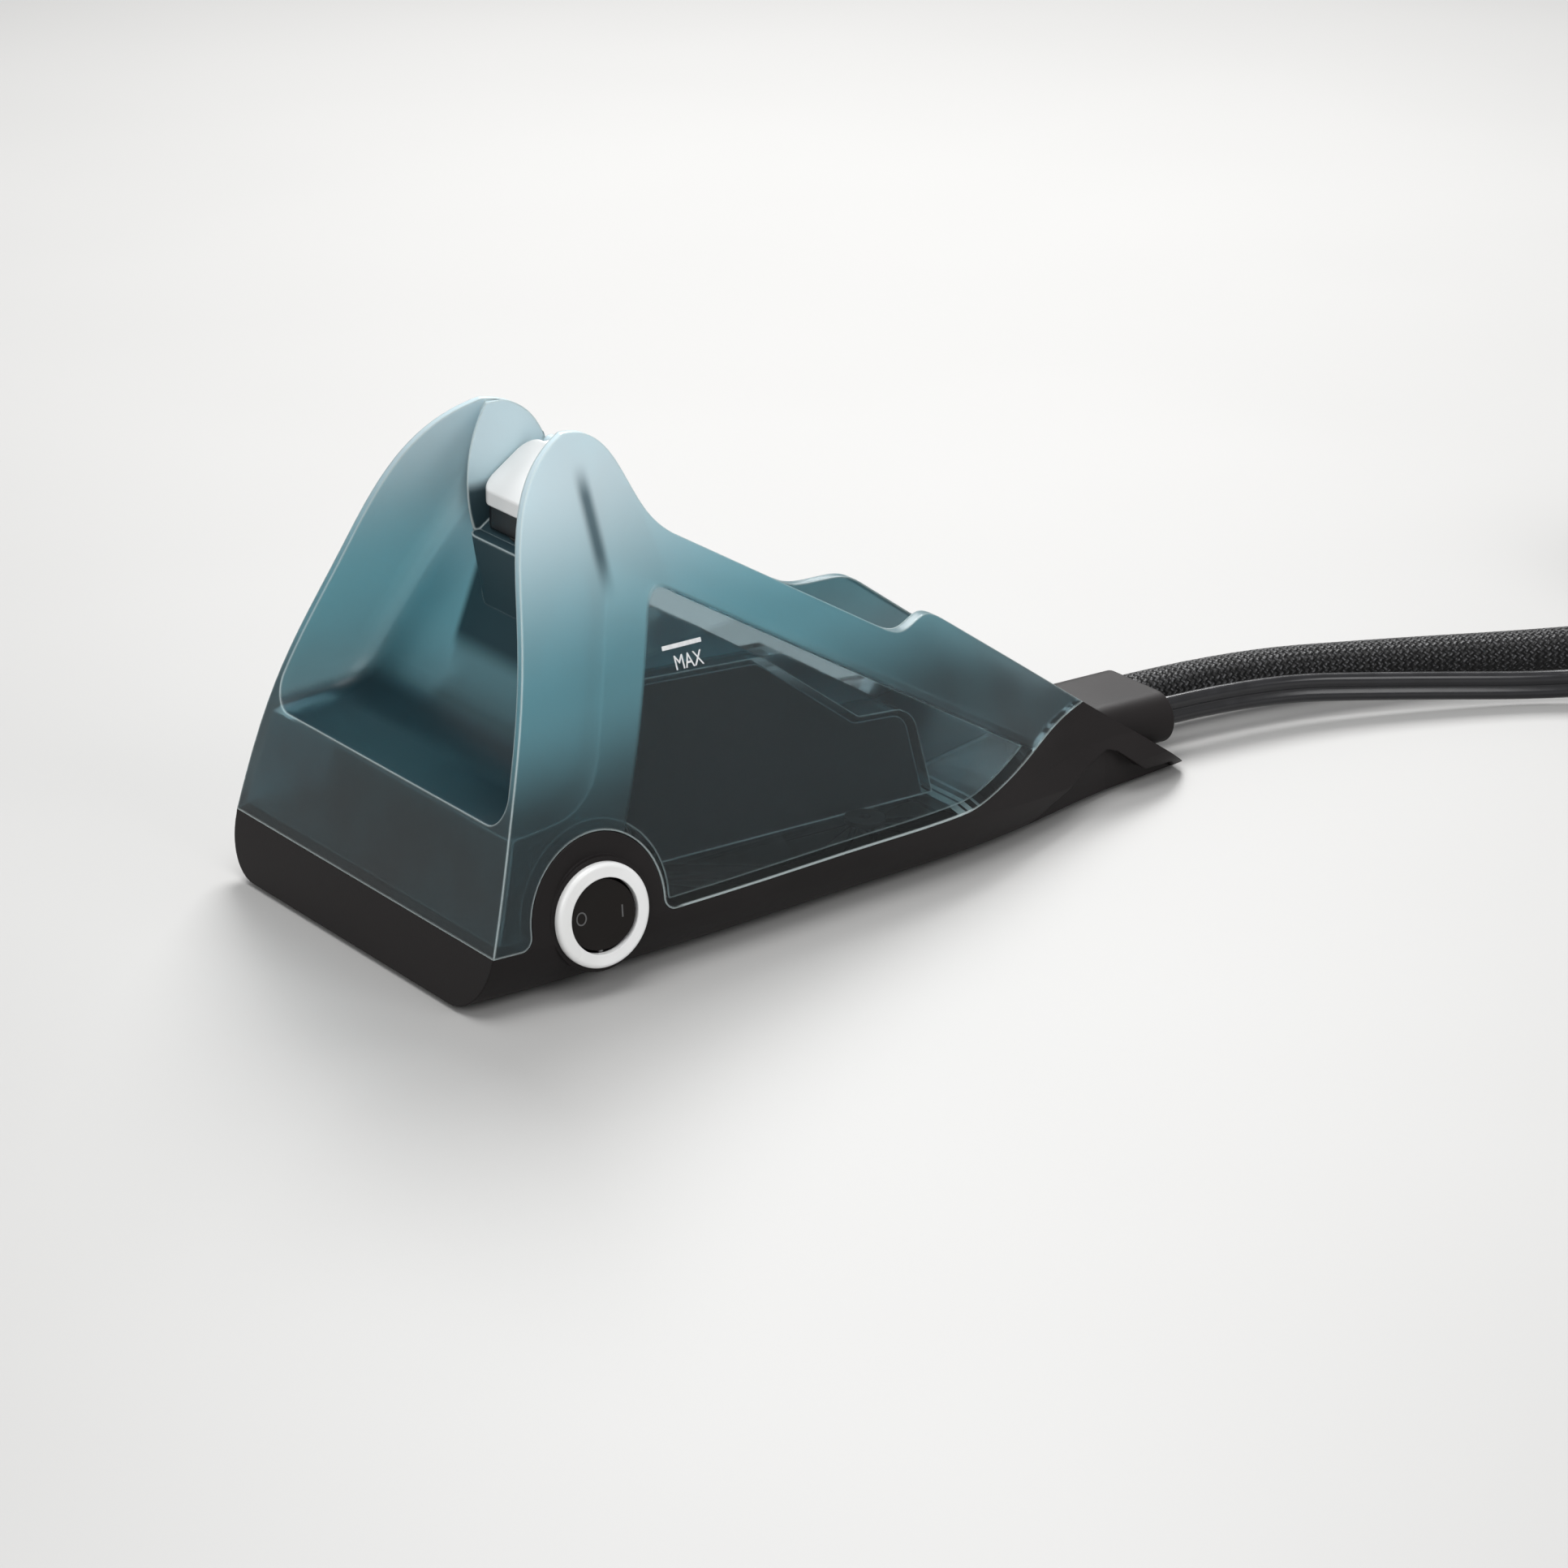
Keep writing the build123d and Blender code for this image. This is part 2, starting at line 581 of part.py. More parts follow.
def make_water_tank(body):
    """Clear tank with scoop, filler ledge, hinge lugs and roof trough, hollow inside."""
    wall = outer_form(TANK_WALL)
    bay = wall & prism(scoop_outline())
    rims = [e for e in bay.edges() if e.center().X > X0 and PILLAR[0][1] < abs(e.center().Y) and e.center().Z < CREST_Z]
    bay = fillet(rims, SCOOP_SIDE_RADIUS) - pillar_form(0.0)
    half = CAP_HALF_WIDTH + CAP_SIDE_GAP

    skin = [(a + TANK_WALL, z) for a, z in FRONT_CURVE[:-1]]
    crown = [(a - TANK_WALL, z - TANK_WALL) for a, z in HORN_BACK]
    limit = prism(side_outline([*skin, *crown, (FAR, crown[-1][1]), (FAR, FEET_GAP)]))
    lower = prism(seam_outline(), grow=TANK_WALL) + arch_form(SEAT_GAP + TANK_WALL)
    lower += cover_form(COVER_GAP + TANK_WALL, COVER_WALL)
    ledge = prism(pocket_outline(), -half - TANK_WALL, half + TANK_WALL, grow=TANK_WALL)
    roof = prism(trough_outline(), grow=TANK_WALL)
    space = (wall & limit) - (prism(scoop_outline(), grow=TANK_WALL) - pillar_form(TANK_WALL))
    space -= [lower, ledge, roof]

    cuts = [
        lower_region(SEAT_GAP) + cover_form(COVER_GAP, COVER_WALL),
        bay,
        prism(pocket_outline(), -half, half),
        outer_form(RIM_WALL) & prism(trough_outline()),
        space,
        disc(seat_plane(-STRAINER_LENGTH), NECK_RADIUS, 2 * STRAINER_LENGTH),
        post(*OUTLET, SEAM_Z - TANK_WALL, SEAM_Z + 2 * TANK_WALL, GROMMET_RADIUS),
    ]
    tank = body
    for cut in cuts:
        tank -= cut
    for side in (-1, 1):
        y = side * (HINGE_BARREL_HALF + LUG_GAP + LUG_WIDTH / 2)
        y0 = y - LUG_WIDTH / 2
        y1 = y + LUG_WIDTH / 2
        lug = block(HINGE[0] - LUG_RADIUS, HINGE[0] + LUG_RADIUS, y0, y1, LUG_ROOT_Z, HINGE[1])
        lug += rod(at(HINGE[0], y0, HINGE[1]), at(HINGE[0], y1, HINGE[1]), LUG_RADIUS)
        tank += lug - hinge_rod(HINGE_PIN_RADIUS)
    return tank


def hinge_rod(radius):
    """Bar along the cap hinge through both lugs."""
    half = HINGE_BARREL_HALF + LUG_GAP + LUG_WIDTH
    return rod(at(HINGE[0], -half, HINGE[1]), at(HINGE[0], half, HINGE[1]), radius)


def make_exit_block():
    """Moulded block that hose and lead leave from."""
    solid = exit_form()
    ends = [e for e in solid.edges() if abs(e.center().X - X0 - BLOCK_END) < BLOCK_EDGE / 10]
    solid = fillet(ends, BLOCK_EDGE)
    deep = SOCKET_DEPTH + BLOCK_EDGE
    hose = Plane(origin=HOSE_ROUTE[0], z_dir=(1, 0, 0)) * Circle(HOSE_RADIUS + SEAT_GAP)
    lead = lead_section(LEAD_ROUTE[0], Vector(1, 0, 0), SEAT_GAP)
    return solid - extrude(hose, amount=deep) - extrude(lead, amount=deep)


def make_bottom_plate():
    """Plate closing the underside."""
    top = FEET_GAP + HULL_WALL
    plate = plate_form(FEET_GAP, top)
    cuts = []
    for along, y in screw_spots():
        cuts.append(post(along, y, FEET_GAP, top, SCREW_SHANK))
        cuts.append(post(along, y, FEET_GAP, FEET_GAP + SCREW_HEAD_HEIGHT, SCREW_HEAD + PLATE_GAP))
    for i in range(VENT_COUNT):
        along = VENT_ALONG + i * VENT_PITCH
        cuts.append(block(along, along + VENT_WIDTH, -VENT_LENGTH / 2, VENT_LENGTH / 2, 0, SEAM_Z))
    return plate - cuts


def make_plate_screws():
    """Six screws into the hull posts."""
    screws = Part()
    for along, y in screw_spots():
        head = post(along, y, FEET_GAP, FEET_GAP + SCREW_HEAD_HEIGHT, SCREW_HEAD)
        shank = post(along, y, FEET_GAP + SCREW_HEAD_HEIGHT, FEET_GAP + SCREW_LENGTH, SCREW_SHANK)
        slot = SCREW_SHANK / 3
        cross = block(along - SCREW_SHANK, along + SCREW_SHANK, y - slot, y + slot, 0,
                      FEET_GAP + SCREW_SHANK / 2)
        cross += block(along - slot, along + slot, y - SCREW_SHANK, y + SCREW_SHANK, 0,
                       FEET_GAP + SCREW_SHANK / 2)
        screws += head + shank - cross
    return screws


def make_rubber_feet():
    """Four feet plugged into the underside."""
    feet = Part()
    for along, y in foot_spots():
        pad = post(along, y, 0, FEET_GAP, FOOT_RADIUS)
        pad = chamfer(pad.edges().group_by(Axis.Z)[0], FEET_GAP / 3)
        feet += pad + post(along, y, FEET_GAP, FEET_GAP + FOOT_STUB, FOOT_STUB_RADIUS)
    return feet


def make_boiler_cover():
    """Hood over boiler and pump, standing on the deck."""
    return cover_form(0.0, 0.0) - cover_form(-COVER_WALL, COVER_ROUND)


def make_boiler_bracket():
    """Sheet tray that holds the boiler off the deck."""
    along0, along1, half = BOILER_SPAN
    tray = block(along0 - BRACKET_LIP, along1 + BRACKET_LIP, -half - BRACKET_LIP, half + BRACKET_LIP,
                 SEAM_Z, SEAM_Z + BRACKET_SHEET)
    for along in (along0 - BRACKET_SHEET, along1):
        tray += block(along, along + BRACKET_SHEET, -BRACKET_EAR, BRACKET_EAR, SEAM_Z,
                      SEAM_Z + BRACKET_RISE)
    for along in (along0 + BRACKET_LIP, along1 - BRACKET_LIP):
        tray -= post(along, 0, SEAM_Z, SEAM_Z + BRACKET_RISE, BRACKET_LIP)
    return tray


def make_boiler():
    """Cast boiler body with two heater ends."""
    along0, along1, half = BOILER_SPAN
    low = SEAM_Z + BRACKET_SHEET
    body = block(along0, along1, -half, half, low, BOILER_TOP)
    body = fillet(body.edges().filter_by(Axis.Z), BOILER_ROUND)
    for side in (-1, 1):
        y = side * half / 2
        z = low + HEATER_RISE
        body += rod(at(along0 - HEATER_STUB, y, z), at(along0 + BOILER_ROUND, y, z), HEATER_RADIUS)
    return body


def make_boiler_lid():
    """Clamped lid of the boiler with its four bolt heads."""
    along0, along1, half = BOILER_SPAN
    lid = block(along0, along1, -half, half, BOILER_TOP, BOILER_TOP + BOILER_LID)
    lid = fillet(lid.edges().filter_by(Axis.Z), BOILER_ROUND)
    top = BOILER_TOP + BOILER_LID
    for along in (along0 + BOILER_ROUND, along1 - BOILER_ROUND):
        for y in (-half + BOILER_ROUND, half - BOILER_ROUND):
            head = Plane(origin=at(along, y, top)) * RegularPolygon(BOLT_RADIUS, 6)
            lid += extrude(head, amount=BOLT_HEIGHT)
    return lid


def make_thermostat():
    """Disc thermostat on the boiler lid with two tabs."""
    along, y = THERMOSTAT_SPOT
    low = BOILER_TOP + BOILER_LID
    body = post(along, y, low, low + THERMOSTAT_HEIGHT, THERMOSTAT_RADIUS)
    body += post(along, y, low, low + THERMOSTAT_HEIGHT / 4, THERMOSTAT_RADIUS + TAB[0] / 3)
    high = low + THERMOSTAT_HEIGHT
    for side in (-1, 1):
        mid = y + side * THERMOSTAT_RADIUS / 2
        body += block(along - TAB[0] / 2, along + TAB[0] / 2, mid - TAB[1] / 2, mid + TAB[1] / 2, high,
                      high + TAB[2])
    return body


def make_thermal_fuse():
    """Thermal fuse in its clip on the boiler lid."""
    along, y = FUSE_SPOT
    low = BOILER_TOP + BOILER_LID
    clip = block(along - FUSE_LENGTH / 4, along + FUSE_LENGTH / 4, y - 2 * FUSE_RADIUS, y + 2 * FUSE_RADIUS,
                 low, low + FUSE_RADIUS)
    z = low + FUSE_RADIUS
    return clip + rod(at(along - FUSE_LENGTH / 2, y, z), at(along + FUSE_LENGTH / 2, y, z), FUSE_RADIUS)


def make_pump():
    """Vibration pump lying across the unit under the scoop."""
    along, z = PUMP_AXIS
    core = block(along - PUMP_COIL / 2, along + PUMP_COIL / 2, -PUMP_HALF, PUMP_HALF, z - PUMP_COIL / 2,
                 z + PUMP_COIL / 2)
    core = fillet(core.edges().filter_by(Axis.Y), PUMP_ROUND)
    core += rod(at(along, -PUMP_NECK, z), at(along, PUMP_NECK, z), PUMP_NECK_RADIUS)
    return core + rod(at(along, -PUMP_REACH, z), at(along, PUMP_REACH, z), TUBE_RADIUS)


def make_pump_mounts():
    """Two rubber blocks under the pump."""
    along, z = PUMP_AXIS
    mounts = Part()
    for side in (-1, 1):
        y = side * PUMP_MOUNT_SPREAD
        mounts += block(along - PUMP_COIL / 2, along + PUMP_COIL / 2, y - PUMP_MOUNT / 2,
                        y + PUMP_MOUNT / 2,
                        SEAM_Z, z - PUMP_COIL / 2)
    return mounts


def make_outlet_grommet():
    """Rubber outlet between tank floor and deck."""
    along, y = OUTLET
    top = SEAM_Z + TANK_WALL
    ring = post(along, y, SEAM_Z - HULL_WALL, top, GROMMET_RADIUS)
    ring += post(along, y, top, top + GROMMET_RISE, GROMMET_FLANGE)
    return ring - post(along, y, UNDER, SKY, TUBE_BORE)


def tube(points, bend):
    """Hollow tube through points with round bends."""
    path = FilletPolyline(*points, radius=bend)
    plane = Plane(origin=points[0], z_dir=points[1] - points[0])
    return Part() + sweep(plane * (Circle(TUBE_RADIUS) - Circle(TUBE_BORE)), path=path)


def make_suction_tube():
    """Tube from tank outlet to pump."""
    pump, z = PUMP_AXIS
    low = TUBE_LOW
    out, out_y = OUTLET
    rise, rise_y = SUCTION_RISE
    points = [at(out, out_y, SEAM_Z - HULL_WALL), at(out, out_y, low), at(rise, out_y, low),
              at(rise, rise_y, low),
              at(rise, rise_y, z), at(pump, rise_y, z), at(pump, -PUMP_REACH, z)]
    return tube(points, TUBE_BEND)


def make_feed_tube():
    """Tube from pump to boiler."""
    pump, z = PUMP_AXIS
    far = -SUCTION_RISE[1]
    along0, along1, half = BOILER_SPAN
    enter = along0 + FEED_ENTRY
    points = [at(pump, PUMP_REACH, z), at(pump, far, z), at(enter, far, z), at(enter, half, z)]
    return tube(points, TUBE_BEND)


def make_steam_tube():
    """Tube from boiler down through the deck to the exit block."""
    along0, along1, half = BOILER_SPAN
    drop = STEAM_DROP[0]
    side = HOSE_ROUTE[0].Y
    level = HOSE_ROUTE[0].Z
    points = [at(along1, 0, STEAM_Z), at(drop, 0, STEAM_Z), at(drop, 0, TUBE_LOW),
              at(STEAM_SHIFT[0], 0, TUBE_LOW),
              at(STEAM_SHIFT[1], side, level), at(BLOCK_START - FITTING_LENGTH, side, level)]
    return tube(points, TUBE_BEND)


def make_hose_fitting():
    """Brass stub between steam tube and exit block."""
    side = HOSE_ROUTE[0].Y
    level = HOSE_ROUTE[0].Z
    start = at(BLOCK_START - FITTING_LENGTH, side, level)
    end = at(BLOCK_START, side, level)
    return rod(start, end, FITTING_RADIUS) - rod(start, end, TUBE_BORE)


def make_lead_tail():
    """Inner end of the lead from the exit block to the terminals."""
    spot = LEAD_ROUTE[0]
    start = at(TERMINAL_REAR, spot.Y, spot.Z)
    length = BLOCK_START - TERMINAL_REAR
    return Part() + extrude(lead_section(start, Vector(1, 0, 0), 0.0), amount=length)


def make_terminal_block():
    """Connector block for the lead."""
    spot = LEAD_ROUTE[0]
    half = TERMINAL_BLOCK[1] / 2
    low = FEET_GAP + HULL_WALL
    body = block(TERMINAL_REAR - TERMINAL_BLOCK[0], TERMINAL_REAR, spot.Y - half, spot.Y + half, low,
                 SEAM_Z - HULL_WALL)
    for side in (-1, 1):
        spot_y = spot.Y + side * half / 2
        body -= post(TERMINAL_REAR - TERMINAL_BLOCK[0] / 2, spot_y, low, low + half / 2, half / 3)
    return body


def make_switch_bezel():
    """White ring round the rocker."""
    ring = disc(switch_plane(), BEZEL_RADIUS, BEZEL_PROUD)
    ring = fillet(ring.edges().sort_by(Axis.Y)[0], BEZEL_ROUND)
    return ring - disc(switch_plane(CAN_DEPTH), BEZEL_BORE, 2 * CAN_DEPTH)


def rocker_axis(half):
    """Ends of the rocker pivot."""
    plane = switch_plane(ROCKER_PIVOT_DEPTH)
    return plane.origin - plane.y_dir * half, plane.origin + plane.y_dir * half


def make_switch_can():
    """Round switch body behind the bezel."""
    can = disc(switch_plane(CAN_DEPTH), CAN_RADIUS, CAN_DEPTH)
    can -= disc(switch_plane(CAN_DEPTH - CAN_FLOOR), BEZEL_BORE, 2 * CAN_DEPTH)
    return can - rod(*rocker_axis(CAN_RADIUS), ROCKER_PIN_RADIUS)


def make_switch_terminals():
    """Two tabs on the back of the switch."""
    tabs = Part()
    wide, thick, deep = TERMINAL_SIZE
    for side in (-1, 1):
        plane = switch_plane(CAN_DEPTH + deep)
        sketch = plane * Pos(side * TERMINAL_PITCH / 2, 0) * Rectangle(thick, wide)
        tabs += extrude(sketch, amount=deep)
    return tabs


def make_rocker_pin():
    """Pivot of the rocker, held in the switch body."""
    return rod(*rocker_axis(BEZEL_BORE + (CAN_RADIUS - BEZEL_BORE) / 2), ROCKER_PIN_RADIUS)


def make_switch_rocker():
    """Round rocker with a hollow face, resting with its off side pressed in."""
    plane = switch_plane(ROCKER_DEPTH)
    rocker = disc(plane, ROCKER_RADIUS, ROCKER_DEPTH + ROCKER_FRONT)
    crown = switch_plane(ROCKER_DISH_DEPTH - ROCKER_FRONT - ROCKER_DISH)
    start = crown.origin - crown.y_dir * BEZEL_RADIUS
    end = crown.origin + crown.y_dir * BEZEL_RADIUS
    rocker -= rod(start, end, ROCKER_DISH)
    low, high = rocker_axis(ROCKER_RADIUS + ROCKER_PIN_RADIUS)
    rocker -= rod(low, high, ROCKER_PIN_RADIUS + RUN_GAP)
    return rocker.rotate(Axis(low, high - low), -ROCKER_REST)


def cap_profile(low, rise, front, rear):
    """Side outline of a cap layer that starts at a height above the ledge."""
    points = [(front, seat_z(front) + low), (rear, seat_z(rear) + low),
              (rear, seat_z(rear) + low + rise), (front, seat_z(front) + low + rise)]
    return side_outline(points)


def make_cap_body():
    """Dark lower part of the filler cap."""
    half = CAP_HALF_WIDTH - CAP_BODY_INSET
    low = SEAL_TOP / cos(radians(CAP_TILT))
    body = prism(cap_profile(low, CAP_BODY_RISE, CAP_FRONT, CAP_REAR), -half, half)
    return fillet(body.edges().filter_by(Axis.Z), CAP_CORNER - CAP_BODY_INSET)


def make_cap_lid():
    """White lid with the hinge barrel at its rear."""
    low = SEAL_TOP / cos(radians(CAP_TILT)) + CAP_BODY_RISE
    front = CAP_FRONT - CAP_BODY_INSET
    plate = prism(cap_profile(low, CAP_LID_RISE, front, CAP_REAR), -CAP_HALF_WIDTH, CAP_HALF_WIDTH)
    plate = fillet(plate.edges().filter_by(Axis.Z), CAP_CORNER)
    top = plate.faces().sort_by(Axis((0, 0, 0), seat_plane().z_dir))[-1]
    plate = fillet(top.edges(), CAP_EDGE)
    half = HINGE_BARREL_HALF
    web = block(CAP_REAR - CAP_EDGE, HINGE[0], -half, half, HINGE[1] - HINGE_WEB / 5,
                HINGE[1] + HINGE_WEB * 4 / 5)
    barrel = rod(at(HINGE[0], -half, HINGE[1]), at(HINGE[0], half, HINGE[1]), HINGE_BARREL_RADIUS)
    return plate + (web + barrel) - hinge_rod(HINGE_PIN_RADIUS + RUN_GAP)


def make_cap_seal():
    """Flat ring under the cap."""
    height = SEAL_TOP - SEAL_LIFT
    return disc(seat_plane(SEAL_LIFT), SEAL_OUTER, height) - disc(seat_plane(SEAL_LIFT), SEAL_INNER, height)


def make_filler_strainer():
    """Slotted cup hanging in the filler neck."""
    outer = NECK_RADIUS
    inner = NECK_RADIUS - STRAINER_WALL
    cup = disc(seat_plane(-STRAINER_LENGTH), outer, STRAINER_LENGTH)
    cup += disc(seat_plane(), STRAINER_FLANGE, STRAINER_WALL)
    cup -= disc(seat_plane(STRAINER_WALL - STRAINER_LENGTH), inner, 2 * STRAINER_LENGTH)
    cuts = []
    for i in range(STRAINER_SLOTS // 2):
        spin = 180 * i / (STRAINER_SLOTS // 2)
        sketch = seat_plane(STRAINER_SLOT - STRAINER_LENGTH) * Rot(0, 0, spin) * Rectangle(4 * outer,
                                                                                           STRAINER_SLOT)
        cuts.append(extrude(sketch, amount=STRAINER_LENGTH / 2))
    return cup - cuts


def biarc(start, heading, end, arrival):
    """Two arcs from start to end, tangent to both directions."""
    chord = end - start
    both = heading + arrival
    bend = 2 * (1 - heading.dot(arrival))
    reach = chord.dot(both)
    d = (sqrt(reach * reach + bend * chord.dot(chord)) - reach) / bend
    q0 = start + heading * d
    q1 = end - arrival * d
    joint = (q0 + q1) * 0.5
    return [Edge.make_tangent_arc(start, heading, joint),
            Edge.make_tangent_arc(joint, (q1 - q0).normalized(), end)]


def left_of(heading):
    """Level direction to the left of a heading."""
    return Vector(-heading.Y, heading.X, 0)


def coil_line(entry, heading, inner, pitch, rounds, drop):
    """Point of a coil by angle: in on top, down a layer in the half turn after zero, then out below."""
    side = left_of(heading)
    centre = entry + side * (inner + pitch * rounds)

    def spot(angle):
        lap = angle / (2 * pi)
        if lap <= 0.5:
            radius = inner - pitch * lap
        elif lap <= 1.0:
            radius = inner - pitch / 2 + 3 * pitch * (lap - 0.5)
        else:
            radius = inner + pitch * lap
        fall = drop * (1 - cos(min(max(angle, 0.0), pi))) / 2
        swing = angle + 2 * pi * rounds
        return centre + (heading * sin(swing) - side * cos(swing)) * radius - Vector(0, 0, fall)

    return spot


def coil_exit(heading, rounds):
    """Direction in which a coil is left after all its turns."""
    swing = 4 * pi * rounds
    return heading * cos(swing) + left_of(heading) * sin(swing)


def coil_path(entry, heading, inner, pitch, rounds, drop, tail):
    """Wire of a coil in quarter turns, with a straight tail at the end."""
    spot = coil_line(entry, heading, inner, pitch, rounds, drop)
    onward = coil_exit(heading, rounds)
    quarters = round(8 * rounds)
    nodes = []
    for i in range(quarters + 1):
        angle = -2 * pi * rounds + i * pi / 2
        slope = (spot(angle + 0.001) - spot(angle - 0.001)).normalized()
        nodes.append((spot(angle), slope))
    nodes[0] = (entry, heading)
    nodes[-1] = (nodes[-1][0], onward)
    edges = []
    for (p0, t0), (p1, t1) in zip(nodes, nodes[1:]):
        edges += biarc(p0, t0, p1, t1)
    edges.append(Edge.make_line(nodes[-1][0], nodes[-1][0] + onward * tail))
    return Wire(edges), edges


def least_gap(name, edges, across, tall):
    """Print the least space between neighbouring turns of a coil, measured on points."""
    spots = []
    gone = 0.0
    for edge in edges:
        steps = max(2, round(edge.length / 6))
        for k in range(steps):
            spots.append((gone + edge.length * k / steps, edge.position_at(k / steps)))
        gone += edge.length
    least = 1e9
    for i, (s, p) in enumerate(spots):
        for s2, q in spots[i + 1:]:
            if s2 - s < 12 * across:
                continue
            flat = hypot(p.X - q.X, p.Y - q.Y)
            rise = abs(p.Z - q.Z)
            if across == tall:
                gap = hypot(flat, rise) - across
            else:
                gap = max(flat - across, rise - tall)
            least = min(least, gap)
    print(name, "length", round(gone, 1), "least gap", round(least, 2))


def free_path(name, points):
    """Straight runs joined by tangent arcs through points."""
    runs = [(b - a).length for a, b in zip(points, points[1:])]
    radii = []
    for a, b, c, short in zip(points, points[1:], points[2:], [min(p) for p in zip(runs, runs[1:])]):
        turn = acos((b - a).normalized().dot((c - b).normalized()))
        radii.append(0.45 * short / tan(turn / 2))
    print(name, "radii", [round(r) for r in radii], "runs", [round(r) for r in runs])
    return FilletPolyline(*points, radius=radii)


def lead_section(spot, heading, grow):
    """Flat oval lead standing on edge."""
    plane = Plane(origin=spot, x_dir=(0, 0, 1), z_dir=heading)
    return plane * Ellipse(LEAD_WIDTH / 2 + grow, LEAD_THICK / 2 + grow)


def last_heading(points):
    """Direction of the last run."""
    return (points[-1] - points[-2]).normalized()


def make_steam_hose():
    """Free stretch of the hose."""
    path = free_path("steam_hose", HOSE_ROUTE)
    plane = Plane(origin=HOSE_ROUTE[0], z_dir=HOSE_ROUTE[1] - HOSE_ROUTE[0])
    solid = Part() + sweep(plane * Circle(HOSE_RADIUS), path=path)
    print("steam_hose length", round(path.length, 1), "share",
          round(solid.volume / (pi * HOSE_RADIUS ** 2 * path.length), 4))
    return solid


def make_hose_coil():
    """Rest of the hose, coiled flat in two layers."""
    heading = last_heading(HOSE_ROUTE)
    entry = HOSE_ROUTE[-1]
    path, edges = coil_path(entry, heading, HOSE_COIL_INNER, HOSE_COIL_PITCH, HOSE_COIL_ROUNDS,
                            HOSE_COIL_DROP, HOSE_TAIL)
    least_gap("hose_coil", edges, 2 * HOSE_RADIUS, 2 * HOSE_RADIUS)
    solid = Part() + sweep(Plane(origin=entry, z_dir=heading) * Circle(HOSE_RADIUS), path=path)
    print("hose_coil share", round(solid.volume / (pi * HOSE_RADIUS ** 2 * path.length), 4))
    return solid


def make_mains_lead():
    """Free stretch of the lead."""
    path = free_path("mains_lead", LEAD_ROUTE)
    face = lead_section(LEAD_ROUTE[0], LEAD_ROUTE[1] - LEAD_ROUTE[0], 0.0)
    solid = Part() + sweep(face, path=path)
    print("mains_lead length", round(path.length, 1), "share",
          round(solid.volume / (face.area * path.length), 4))
    return solid


def make_lead_coil():
    """Rest of the lead, coiled on edge in two layers."""
    heading = last_heading(LEAD_ROUTE)
    entry = LEAD_ROUTE[-1]
    path, edges = coil_path(entry, heading, LEAD_COIL_INNER, LEAD_COIL_PITCH, LEAD_COIL_ROUNDS,
                            LEAD_COIL_DROP, LEAD_TAIL)
    least_gap("lead_coil", edges, LEAD_THICK, LEAD_WIDTH)
    face = lead_section(entry, heading, 0.0)
    solid = Part() + sweep(face, path=path)
    print("lead_coil share", round(solid.volume / (face.area * path.length), 4))
    return solid


def tie_band(route, inner, pitch, rounds, drop, quarter, across, tall):
    """Strap round all turns of a coil at a quarter turn from its entry."""
    entry = route[-1]
    heading = last_heading(route)
    side = left_of(heading)
    centre = entry + side * (inner + pitch * rounds)
    spot = coil_line(entry, heading, inner, pitch, rounds, drop)
    swing = quarter * pi / 2
    out = heading * sin(swing) - side * cos(swing)
    radii = []
    while swing <= 4 * pi * rounds:
        radii.append((spot(swing - 2 * pi * rounds) - centre).dot(out))
        swing += 2 * pi
    sag = (TIE_WIDTH / 2) ** 2 / min(radii)
    low = min(radii) - sag - across / 2 - TIE_GAP
    high = max(radii) + across / 2 + TIE_GAP
    middle = centre + out * ((low + high) / 2) - Vector(0, 0, drop / 2)
    plane = Plane(origin=middle, x_dir=out, z_dir=out.cross(Vector(0, 0, 1)))
    hole = (high - low, drop + tall + 2 * TIE_GAP)
    sketch = RectangleRounded(hole[0] + 2 * TIE_THICK, hole[1] + 2 * TIE_THICK, TIE_ROUND)
    sketch -= RectangleRounded(*hole, TIE_ROUND - TIE_THICK)
    return Part() + extrude(plane * sketch, amount=TIE_WIDTH / 2, both=True)


def make_hose_tie():
    """Strap of the hose coil."""
    return tie_band(HOSE_ROUTE, HOSE_COIL_INNER, HOSE_COIL_PITCH, HOSE_COIL_ROUNDS, HOSE_COIL_DROP,
                    HOSE_TIE_QUARTER,
                    2 * HOSE_RADIUS, 2 * HOSE_RADIUS)


def make_lead_tie():
    """Strap of the lead coil."""
    return tie_band(LEAD_ROUTE, LEAD_COIL_INNER, LEAD_COIL_PITCH, LEAD_COIL_ROUNDS, LEAD_COIL_DROP,
                    LEAD_TIE_QUARTER,
                    LEAD_THICK, LEAD_WIDTH)


def cord_end(route, inner, pitch, rounds, drop, tail):
    """Plane at the far end of a coiled cord, facing onward."""
    heading = last_heading(route)
    onward = coil_exit(heading, rounds)
    spot = coil_line(route[-1], heading, inner, pitch, rounds, drop)(2 * pi * rounds)
    return Plane(origin=spot + onward * tail, x_dir=left_of(onward), z_dir=onward)


def make_hose_connector():
    """Push-on coupling at the far end of the hose."""
    plane = cord_end(HOSE_ROUTE, HOSE_COIL_INNER, HOSE_COIL_PITCH, HOSE_COIL_ROUNDS, HOSE_COIL_DROP,
                     HOSE_TAIL)
    sleeve = disc(plane, CONNECTOR_RADIUS, CONNECTOR_LENGTH)
    nose = disc(plane.offset(CONNECTOR_LENGTH), CONNECTOR_NOSE, CONNECTOR_NOSE_LENGTH)
    bore = disc(plane.offset(CONNECTOR_LENGTH), TUBE_BORE, CONNECTOR_NOSE_LENGTH)
    return sleeve + nose - bore


def plug_plane():
    """Plane where the lead enters the plug."""
    return cord_end(LEAD_ROUTE, LEAD_COIL_INNER, LEAD_COIL_PITCH, LEAD_COIL_ROUNDS, LEAD_COIL_DROP,
                    LEAD_TAIL)


